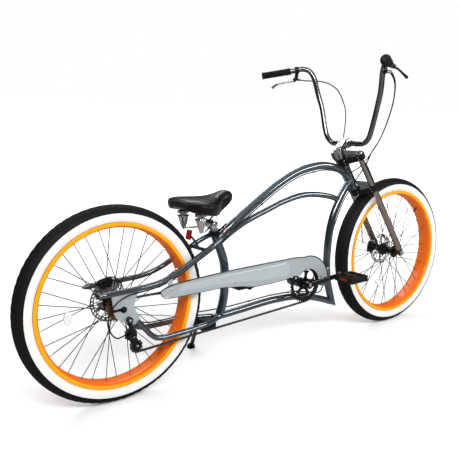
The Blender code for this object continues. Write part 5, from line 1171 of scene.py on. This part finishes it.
def guard():
    """The chain guard: plate, rolled dark edge, raised panel with a round end, strap and bolts."""
    middle = (BB.x + 0.006, BB.z + 0.002)

    def turn_points(centre, radius, start, stop, count):
        points = []
        for k in range(count + 1):
            angle = math.radians(start + (stop - start) * k / count)
            points.append((centre[0] + radius * math.cos(angle), centre[1] + radius * math.sin(angle)))
        return points

    outline = [(0.143, 0.37), (0.145, 0.363), (0.15, 0.359), (0.188, 0.348), (0.395, 0.348),
               (0.425, 0.344), (0.485, 0.338), (0.557, 0.326), (0.698, 0.328), (0.746, 0.337)]
    hollow = turn_points(middle, GUARD_HOLLOW_RADIUS, 138.0, 10.0, 36)
    crest = turn_points(middle, GUARD_RADIUS, 6.0, 100.0, 36)
    top = [(0.76, 0.4098), (0.7, 0.4095), (0.56, 0.4085), (0.425, 0.406), (0.212, 0.396), (0.147, 0.381)]
    bm = bmesh.new()
    slab(bm, outline + hollow + crest + top, -0.0698, -0.0682)
    add("chain_guard_dressed", bm, silver, "frame", ("chain_guard",), bevel=0.0003)
    bm = bmesh.new()
    rim_line = [Vector((x, GUARD_Y, z)) for x, z in crest + top + [(0.143, 0.37)]]
    tube(bm, curve_through(rim_line, MEDIUM_STEP), 0.0026, 14)
    lower_line = [Vector((x, GUARD_Y, z)) for x, z in outline]
    tube(bm, curve_through(lower_line, 0.01), 0.0016, 12)
    hollow_line = [Vector((x, GUARD_Y, z)) for x, z in hollow]
    tube(bm, hollow_line, 0.0018, 12)
    add("chain_guard_edge", bm, rolled, "frame")
    panel = [(0.215, 0.364), (0.4, 0.362), (0.5, 0.352), (0.585, 0.344), (0.69, 0.343)]
    panel += turn_points((0.7, 0.369), 0.026, -90.0, 90.0, 16)
    panel += [(0.69, 0.395), (0.43, 0.393), (0.23, 0.386), (0.212, 0.376)]
    bm = bmesh.new()
    rings = []
    for y, shrink in ((-0.0697, 0.0), (-0.0706, 0.6), (-0.0706, 1.0)):
        ring = []
        count = len(panel)
        for k in range(count):
            before = Vector(panel[k - 1])
            here = Vector(panel[k])
            after = Vector(panel[(k + 1) % count])
            way = (after - before).normalized()
            inward = Vector((-way.y, way.x)) * shrink * 0.0024
            ring.append(bm.verts.new((here.x + inward.x, y, here.y + inward.y)))
        rings.append(ring)
    bridge(bm, rings, caps=False)
    bm.faces.new(rings[-1])
    add("chain_guard_panel", bm, panel_paint, "frame", smooth=60.0)
    bm = bmesh.new()
    strap = [(0.9, -0.0675, 0.308), (0.93, -0.06, 0.311), (0.97, -0.03, 0.317), (0.998, -0.013, 0.322)]
    tube(bm, curve_through(strap, MEDIUM_STEP), 0.0045, 16, 1.0)
    block(bm, (0.172, -0.068, 0.374), (0.192, -0.066, 0.418))
    add("chain_guard_strap", bm, silver, "frame")
    bm = bmesh.new()
    for x, z in ((0.9, 0.308), (0.182, 0.38), (0.455, 0.356)):
        bolt(bm, (x, -0.0704, z), (0.0, -1.0, 0.0), 0.0036, 0.0016)
    bolt(bm, (0.97, -0.0345, 0.317), (-0.3, -1.0, 0.0), 0.004, 0.003)
    add("chain_guard_bolts", bm, silver_bolt, "frame", smooth=30.0)


SADDLE = [
    (0.262, 0.06, 0.672, 0.648), (0.272, 0.095, 0.681, 0.64), (0.295, 0.124, 0.684, 0.632),
    (0.33, 0.126, 0.683, 0.624), (0.365, 0.104, 0.682, 0.62), (0.395, 0.07, 0.684, 0.622),
    (0.425, 0.046, 0.691, 0.63), (0.455, 0.036, 0.699, 0.642), (0.478, 0.026, 0.695, 0.655),
    (0.49, 0.012, 0.683, 0.668),
]


def saddle_section(share):
    """The saddle's half width, top and underside at a share of its length, smoothly through the table."""
    place = share * (len(SADDLE) - 1)
    k = min(int(place), len(SADDLE) - 2)
    t = place - k
    rows = [SADDLE[max(k - 1, 0)], SADDLE[k], SADDLE[k + 1], SADDLE[min(k + 2, len(SADDLE) - 1)]]
    return [spline(*column, t) for column in zip(*rows)]


def saddle_point(share, angle):
    """A point on the saddle's skin; the angle runs from the left edge over the top."""
    x, half, high, low = saddle_section(share)
    middle = 0.42 * high + 0.58 * low
    across = math.copysign(abs(math.cos(angle)) ** 0.85, math.cos(angle))
    rise = math.sin(angle)
    if rise >= 0.0:
        dish = 0.0016 * math.exp(-((across / 0.3) ** 2)) if 0.15 < share < 0.7 else 0.0
        z = middle + (high - middle) * rise ** 0.72 - dish
    else:
        skirt = 0.012 * math.exp(-(((share - 0.58) / 0.2) ** 2))
        skirt += 0.006 * min(max((0.5 - share) / 0.3, 0.0), 1.0)
        hollow = max(0.0, 1.0 - (across / 0.82) ** 2) * 1.6
        z = middle - (middle - low + skirt) * (-rise) ** 0.45 + min(hollow, 1.0) * (skirt + 0.004)
        across *= 0.965
    return Vector((x, half * across, z))


def saddle():
    """The padded saddle with its piping, the coil springs, the wires, the clamp and the post."""
    bm = bmesh.new()
    rings = []
    lengthwise = 56
    around = 44
    for k in range(lengthwise + 1):
        share = k / lengthwise
        ring = [bm.verts.new(saddle_point(share, 2.0 * math.pi * (j + 0.5) / around)) for j in range(around)]
        rings.append(ring)
    bridge(bm, rings)
    cushion = add("saddle_dressed", bm, leather, "frame", ("saddle",), smooth=180.0, subdivide=1)
    bm = bmesh.new()
    route = []
    for k in range(49):
        share = 1.0 - 0.985 * k / 48
        lift = math.radians(26.0 - 16.0 * math.exp(-(((share - 0.5) / 0.16) ** 2)))
        route.append(saddle_point(share, lift))
    for k in range(1, 9):
        route.append(saddle_point(0.015, math.radians(26.0 + 128.0 * k / 8)))
    for k in range(48):
        share = 0.035 + 0.965 * k / 47
        lift = math.radians(154.0 + 16.0 * math.exp(-(((share - 0.5) / 0.16) ** 2)))
        route.append(saddle_point(share, lift))
    tube(bm, route, 0.0013, 10)
    add("saddle_piping", bm, piping, "frame", smooth=180.0)
    bm = bmesh.new()
    for sign in (1.0, -1.0):
        levels = [(0.56, 0.0052), (0.561, 0.0062), (0.57, 0.0085), (0.582, 0.012), (0.594, 0.015),
                  (0.604, 0.0172), (0.606, 0.0178), (0.6068, 0.0218), (0.6078, 0.0226), (0.6108, 0.0226),
                  (0.6118, 0.0218), (0.6122, 0.013), (0.619, 0.013), (0.6194, 0.0212), (0.6206, 0.0224),
                  (0.6276, 0.0224), (0.6288, 0.021)]
        spring = Vector((SPRING_X, sign * SPRING_Y, 0.0))
        bar(bm, spring, UP, *zip(*levels), 40)
        for k in range(12):
            angle = 2.0 * math.pi * k / 12
            way = Vector((math.cos(angle), math.sin(angle), 0.0))
            flute = [spring + UP * z + way * (radius + 0.0001) for z, radius in levels[2:6]]
            tube(bm, flute, [0.0008, 0.0013, 0.0016, 0.0018], 8)
        wire = [(0.393, sign * 0.017, 0.576), (0.36, sign * 0.036, 0.566), (0.334, sign * 0.06, 0.564),
                (0.317, sign * 0.06, 0.5645)]
        tube(bm, curve_through(wire, MEDIUM_STEP), 0.0034, 16)
        rail = [(0.396, sign * 0.017, 0.58), (0.42, sign * 0.015, 0.604), (0.432, sign * 0.0135, 0.623),
                (0.44, sign * 0.012, 0.64)]
        tube(bm, curve_through(rail, MEDIUM_STEP), 0.0034, 16)
    hold = SEAT_TUBE_TOP + SEAT_TUBE_WAY * 0.03
    stations = [(-0.022, 0.014), (-0.0212, 0.0158), (-0.0165, 0.0164), (-0.0155, 0.015), (0.0155, 0.015),
                (0.0165, 0.0164), (0.0212, 0.0158), (0.022, 0.014)]
    bar(bm, hold, LEFT, *zip(*stations), 36)
    add("saddle_springs_dressed", bm, chrome, "frame", ("saddle_clamp_and_springs",), smooth=40.0)
    bm = bmesh.new()
    for sign in (1.0, -1.0):
        hex_nut(bm, hold + Vector((0.0, sign * 0.0218, 0.0)), (0.0, sign, 0.0), 0.0068, 0.006)
    add("saddle_clamp_nuts", bm, silver_bolt, "frame", smooth=30.0)
    bm = bmesh.new()
    bar(bm, SEAT_TUBE_TOP, SEAT_TUBE_WAY, (0.0006, 0.04, 0.043, 0.0438), [0.0125, 0.0125, 0.0118, 0.008], 36)
    add("seat_post_dressed", bm, alloy, "frame", ("seat_post",))


def stand():
    """The side stand's leg with its eye and rubber foot."""
    pivot = Vector((0.365, 0.05, 0.192))
    ground = (HUB_Z - GROUND_RADIUS) + (0.22 - 0.007) * math.tan(LEAN)
    foot = Vector((0.436, 0.22, ground))
    way = (foot - pivot).normalized()
    hinge = way.cross(Vector((-0.98, 0.15, -0.05)).normalized()).normalized()
    up = Vector((0.0, -math.sin(LEAN), math.cos(LEAN)))
    length = (foot - pivot).length
    bm = bmesh.new()
    bar(bm, pivot, way, (0.0, 0.01, 0.014, length - 0.016, length - 0.014),
        [0.0084, 0.0084, 0.008, 0.008, 0.007], 28)
    bar(bm, pivot, hinge, (-0.0087, -0.008, 0.008, 0.0087), [0.0106, 0.0114, 0.0114, 0.0106], 36)
    add("stand_leg_dressed", bm, black, "kickstand", ("stand_leg",), smooth=35.0)
    bm = bmesh.new()
    bar(bm, foot, up, (0.0002, 0.0014, 0.01, 0.015, 0.016), [0.015, 0.0168, 0.0165, 0.013, 0.0095], 32)
    add("stand_foot", bm, grip_rubber, "kickstand", smooth=50.0)


def caliper(label, hub, angle, rotor_y, inner_y, outer_y, body):
    """A disc caliper: two halves with a bridge outside the disc, and its arm."""
    bm = bmesh.new()

    def sector(radius_low, radius_high, half_angle):
        points = []
        for k in range(9):
            a = angle - half_angle + 2.0 * half_angle * k / 8
            points.append((hub.x + radius_high * math.cos(a), hub.z + radius_high * math.sin(a)))
        for k in range(9):
            a = angle + half_angle - 2.0 * half_angle * k / 8
            points.append((hub.x + radius_low * math.cos(a), hub.z + radius_low * math.sin(a)))
        return points

    slab(bm, sector(0.05, 0.0815, math.radians(20.0)), rotor_y + PAD_GAP, outer_y)
    slab(bm, sector(0.054, 0.0815, math.radians(17.0)), inner_y, rotor_y - PAD_GAP)
    slab(bm, sector(0.074, 0.082, math.radians(19.0)), inner_y + 0.0005, outer_y - 0.0005)
    middle = ray(angle) * 0.064 + hub
    levels = (outer_y - 0.001, outer_y + 0.002, outer_y + 0.0026)
    bar(bm, middle, LEFT, levels, [0.0105, 0.0105, 0.0085], 28)
    add(label, bm, black, body, bevel=0.0009)
    bm = bmesh.new()
    for lead in (-0.27, 0.27):
        spot = ray(angle + lead) * 0.077 + hub
        bolt(bm, spot + Vector((0, outer_y - 0.0002, 0)), (0.0, 1.0, 0.0), 0.003, 0.0022)
    add(label + "_bolts", bm, silver_bolt, body, smooth=30.0)


def cable(name, points, body=None):
    """A cable housing with its end caps."""
    route = curve_through(points, CABLE_STEP)
    bm = bmesh.new()
    tube(bm, route, CABLE_RADIUS, 14)
    made = add(name, bm, housing, body)
    return made


def brakes():
    """Both brake calipers."""
    caliper("front_caliper", FRONT_HUB, math.radians(165.5), FRONT_ROTOR_Y, 0.0375, 0.064, "steering")
    caliper("rear_caliper", REAR_HUB, math.radians(97.0), REAR_ROTOR_Y, 0.0315, 0.0575, "frame")


def cables():
    """The cables of both brakes and the derailleur, with their clips."""
    points = [at_bar(-0.037, 0.244, 0.2765), at_bar(-0.018, 0.22, 0.272), at_bar(0.009, 0.17, 0.268),
              at_bar(0.02, 0.115, 0.252), at_bar(0.035, 0.075, 0.217), at_bar(0.053, 0.052, 0.142),
              at_bar(0.052, 0.05, 0.08), at_bar(0.044, 0.05, 0.015), steer(0.084, 0.052, 0.54),
              steer(0.072, 0.058, 0.47), steer(0.068, 0.064, 0.38), steer(0.064, 0.072, 0.3),
              steer(0.058, 0.084, 0.22), steer(0.036, 0.093, 0.158), steer(0.008, 0.088, 0.12),
              steer(-0.016, 0.076, 0.102), steer(-0.03, 0.064, 0.086)]
    cable("front_brake_cable", points, "steering")
    shared = [(-0.037, -0.244, 0.2765), (-0.005, -0.242, 0.268), (0.042, -0.222, 0.225),
              (0.072, -0.185, 0.14)]
    rear_brake = [at_bar(x, y, z) for x, y, z in shared]
    rear_brake += [Vector(p) for p in (
        (1.168, -0.138, 0.882), (1.16, -0.098, 0.819), (1.164, -0.062, 0.76), (1.152, -0.03, 0.708),
        (1.136, -0.008, 0.66), (1.106, 0.0, 0.615), (1.078, 0.0, 0.57), (1.058, 0.0, 0.528),
        (1.04, 0.0, 0.49), (1.029, 0.0, 0.441), (1.024, 0.0, 0.389), (1.0225, 0.004, 0.34),
        (1.019, 0.013, 0.29), (1.006, 0.019, 0.245), (0.98, 0.016, 0.213), (0.94, 0.012, 0.214),
        (0.906, 0.012, 0.223), (0.848, 0.012, 0.236), (0.792, 0.012, 0.243), (0.683, 0.012, 0.247),
        (0.582, 0.012, 0.243), (0.5, 0.016, 0.239), (0.44, 0.028, 0.235), (0.39, 0.043, 0.232),
        (0.34, 0.056, 0.23), (0.28, 0.062, 0.227), (0.2, 0.066, 0.2255), (0.15, 0.068, 0.229),
        (0.115, 0.06, 0.25), (0.088, 0.057, 0.296), (0.07, 0.056, 0.35), (0.052, 0.055, 0.398),
        (0.028, 0.054, 0.422), (0.0, 0.052, 0.426), )]
    gear = [at_bar(x + 0.009, y + 0.006, z + 0.008) for x, y, z in shared]
    gear += [Vector(p) for p in (
        (1.179, -0.13, 0.885), (1.166, -0.088, 0.812), (1.152, -0.056, 0.765), (1.128, -0.034, 0.738),
        (1.09, -0.024, 0.727), (1.05, -0.017, 0.732), (1.016, -0.015, 0.741), (0.958, -0.015, 0.747),
        (0.901, -0.015, 0.742), (0.84, -0.015, 0.732), (0.786, -0.015, 0.714), (0.733, -0.015, 0.69),
        (0.682, -0.015, 0.663), (0.582, -0.015, 0.6035), (0.51, -0.016, 0.558), (0.46, -0.027, 0.529),
        (0.42, -0.043, 0.513), (0.396, -0.048, 0.503), (0.344, -0.054, 0.479), (0.3, -0.055, 0.4575),
        (0.25, -0.056, 0.433), (0.2, -0.059, 0.4115), (0.14, -0.064, 0.396), (0.07, -0.076, 0.393),
        (0.01, -0.084, 0.39), (-0.035, -0.088, 0.37), (-0.06, -0.088, 0.33), (-0.058, -0.087, 0.285),
        (-0.036, -0.0855, 0.256), (-0.008, -0.0845, 0.257), )]
    for name, points in (("rear_brake_cable", rear_brake), ("shift_cable", gear)):
        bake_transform(cable(name, points))
    bm = bmesh.new()
    clip_spots = [(0.901, -0.015, 0.742, (1.0, 0.0, 0.1)), (0.63, -0.015, 0.6325, (1.0, 0.0, 0.6)),
                  (0.3, -0.055, 0.4575, (1.0, 0.0, 0.5)), (0.14, -0.064, 0.396, (1.0, 0.0, 0.1)),
                  (1.029, 0.0, 0.441, (0.15, 0.0, 1.0)), (0.792, 0.012, 0.243, (1.0, 0.0, 0.0)),
                  (0.582, 0.012, 0.243, (1.0, 0.0, 0.0)), (0.28, 0.062, 0.227, (1.0, 0.0, 0.0))]
    for x, y, z, way in clip_spots:
        way = Vector(way).normalized() * 0.0045
        spot = Vector((x, y, z))
        bar(bm, spot, way, (-1.0, -0.8, 0.8, 1.0), [0.003, 0.0036, 0.0036, 0.003], 16)
    add("cable_clips", bm, black, "frame")


def wheel_reflectors():
    """One reflector between the spokes of each wheel."""
    for label, hub, body, angle, radius, y in (
        ("rear", REAR_HUB, "rear_wheel", math.radians(184.0), 0.17, -0.017),
        ("front", FRONT_HUB, "front_wheel", math.radians(-122.0), 0.165, -0.018),
    ):
        bm = bmesh.new()
        out = ray(angle)
        side = Vector((-out.z, 0.0, out.x))
        spot = hub + out * radius
        outline = []
        for k in range(20):
            turned_by = 2.0 * math.pi * k / 20
            point = spot + out * 0.0135 * math.cos(turned_by) + side * 0.024 * math.sin(turned_by)
            outline.append((point.x, point.z))
        slab(bm, outline, y - 0.0035, y + 0.0035)
        add(label + "_wheel_reflector", bm, lens, body, bevel=0.0012)


def light_panel(name, place, aim, size, power):
    """One long, soft panel of light."""
    data = bpy.data.lights.new(name, "AREA")
    data.shape = "RECTANGLE"
    data.size = size[0]
    data.size_y = size[1]
    data.energy = power
    lamp = bpy.data.objects.new(name, data)
    bpy.context.collection.objects.link(lamp)
    lamp.location = place
    way = Vector(aim) - Vector(place)
    lamp.rotation_euler = way.to_track_quat("-Z", "Y").to_euler()


def studio_world():
    """A dim room that is lighter towards the top, which the camera sees as plain white."""
    world = bpy.data.worlds.new("studio")
    bpy.context.scene.world = world
    world.use_nodes = True
    nodes = world.node_tree.nodes
    links = world.node_tree.links
    back = nodes["Background"]
    back.inputs["Strength"].default_value = 0.62
    where = nodes.new("ShaderNodeTexCoord")
    split = nodes.new("ShaderNodeSeparateXYZ")
    links.new(where.outputs["Generated"], split.inputs["Vector"])
    bands = nodes.new("ShaderNodeValToRGB")
    stops = bands.color_ramp.elements
    stops[0].position = 0.0
    stops[0].color = (0.03, 0.03, 0.03, 1.0)
    stops[1].position = 1.0
    stops[1].color = (1.0, 1.0, 1.0, 1.0)
    middle = stops.new(0.56)
    middle.color = (0.035, 0.035, 0.037, 1.0)
    upper = stops.new(0.8)
    upper.color = (0.7, 0.7, 0.71, 1.0)
    links.new(split.outputs["Z"], bands.inputs["Fac"])
    links.new(bands.outputs["Color"], back.inputs["Color"])
    white = nodes.new("ShaderNodeBackground")
    white.inputs["Color"].default_value = (1.0, 1.0, 1.0, 1.0)
    white.inputs["Strength"].default_value = 1.0
    path = nodes.new("ShaderNodeLightPath")
    mix = nodes.new("ShaderNodeMixShader")
    links.new(path.outputs["Is Camera Ray"], mix.inputs["Fac"])
    links.new(back.outputs["Background"], mix.inputs[1])
    links.new(white.outputs["Background"], mix.inputs[2])
    links.new(mix.outputs["Shader"], nodes["World Output"].inputs["Surface"])


def light_panels():
    """Soft studio light from the right, from ahead and from behind."""
    light_panel("key_light", (-1.8, -3.4, 3.6), (0.0, 0.0, 0.4), (4.5, 0.8), 180.0)
    light_panel("fill_light", (2.8, -3.0, 2.2), (0.2, 0.0, 0.4), (2.5, 0.7), 75.0)
    light_panel("back_light", (0.2, 3.2, 3.2), (0.0, 0.0, 0.4), (4.5, 0.8), 90.0)


def white_floor():
    """A white floor that keeps the shadow and fades into the backdrop."""
    mesh = bpy.data.meshes.new("floor")
    reach = 30.0
    corners = [(-reach, -reach, 0), (reach, -reach, 0), (reach, reach, 0), (-reach, reach, 0)]
    mesh.from_pydata(corners, [], [(0, 1, 2, 3)])
    floor = bpy.data.objects.new("floor", mesh)
    bpy.context.collection.objects.link(floor)
    material, nodes, links, principled = shader("floor_paper", (0.92, 0.92, 0.92), 0.9)
    path = nodes.new("ShaderNodeLightPath")
    glow = nodes.new("ShaderNodeEmission")
    glow.inputs["Color"].default_value = (1.0, 1.0, 1.0, 1.0)
    where = nodes.new("ShaderNodeTexCoord")
    far = nodes.new("ShaderNodeVectorMath")
    far.operation = "LENGTH"
    links.new(where.outputs["Object"], far.inputs[0])
    fade = nodes.new("ShaderNodeMapRange")
    fade.inputs["From Min"].default_value = 1.2
    fade.inputs["From Max"].default_value = 3.5
    fade.inputs["To Min"].default_value = 0.22
    fade.inputs["To Max"].default_value = 1.0
    links.new(far.outputs["Value"], fade.inputs["Value"])
    links.new(fade.outputs["Result"], glow.inputs["Strength"])
    both = nodes.new("ShaderNodeAddShader")
    dim = nodes.new("ShaderNodeBsdfDiffuse")
    dim.inputs["Color"].default_value = (0.34, 0.34, 0.34, 1.0)
    seen = nodes.new("ShaderNodeMixShader")
    links.new(path.outputs["Is Glossy Ray"], seen.inputs["Fac"])
    links.new(principled.outputs["BSDF"], seen.inputs[1])
    links.new(dim.outputs["BSDF"], seen.inputs[2])
    mix = nodes.new("ShaderNodeMixShader")
    links.new(principled.outputs["BSDF"], both.inputs[0])
    links.new(glow.outputs["Emission"], both.inputs[1])
    links.new(path.outputs["Is Camera Ray"], mix.inputs["Fac"])
    links.new(seen.outputs["Shader"], mix.inputs[1])
    links.new(both.outputs["Shader"], mix.inputs[2])
    links.new(mix.outputs["Shader"], nodes["Material Output"].inputs["Surface"])
    mesh.materials.append(material)


CAMERA_PLACE = (-0.81054, -1.80541, 0.94434)
CAMERA_RIGHT = (0.81122, -0.58467, -0.00964)
CAMERA_UP = (0.1113, 0.13819, 0.98413)
CAMERA_BACK = (-0.57406, -0.79942, 0.17718)
FOCAL_PIXELS = 594.993
FRAME_PIXELS = 460.0
SENSOR = 36.0


def camera():
    """The camera at the photograph's angle, placed in the bicycle's own frame."""
    data = bpy.data.cameras.new("camera")
    data.sensor_width = SENSOR
    data.lens = FOCAL_PIXELS / FRAME_PIXELS * SENSOR
    made = bpy.data.objects.new("camera", data)
    bpy.context.collection.objects.link(made)
    place = Matrix.Identity(4)
    for column, axis in enumerate((CAMERA_RIGHT, CAMERA_UP, CAMERA_BACK, CAMERA_PLACE)):
        for row in range(3):
            place[row][column] = axis[row]
    made.matrix_world = BIKE @ place
    bpy.context.scene.camera = made


studio_world()
light_panels()
white_floor()
camera()
wheels()
frame_tubes()
rear_end()
fork()
handlebar()
controls()
drive()
chain()
cogs_and_derailleur()
pedals()
guard()
saddle()
stand()
brakes()
cables()
wheel_reflectors()
bpy.context.scene.view_settings.view_transform = "Standard"
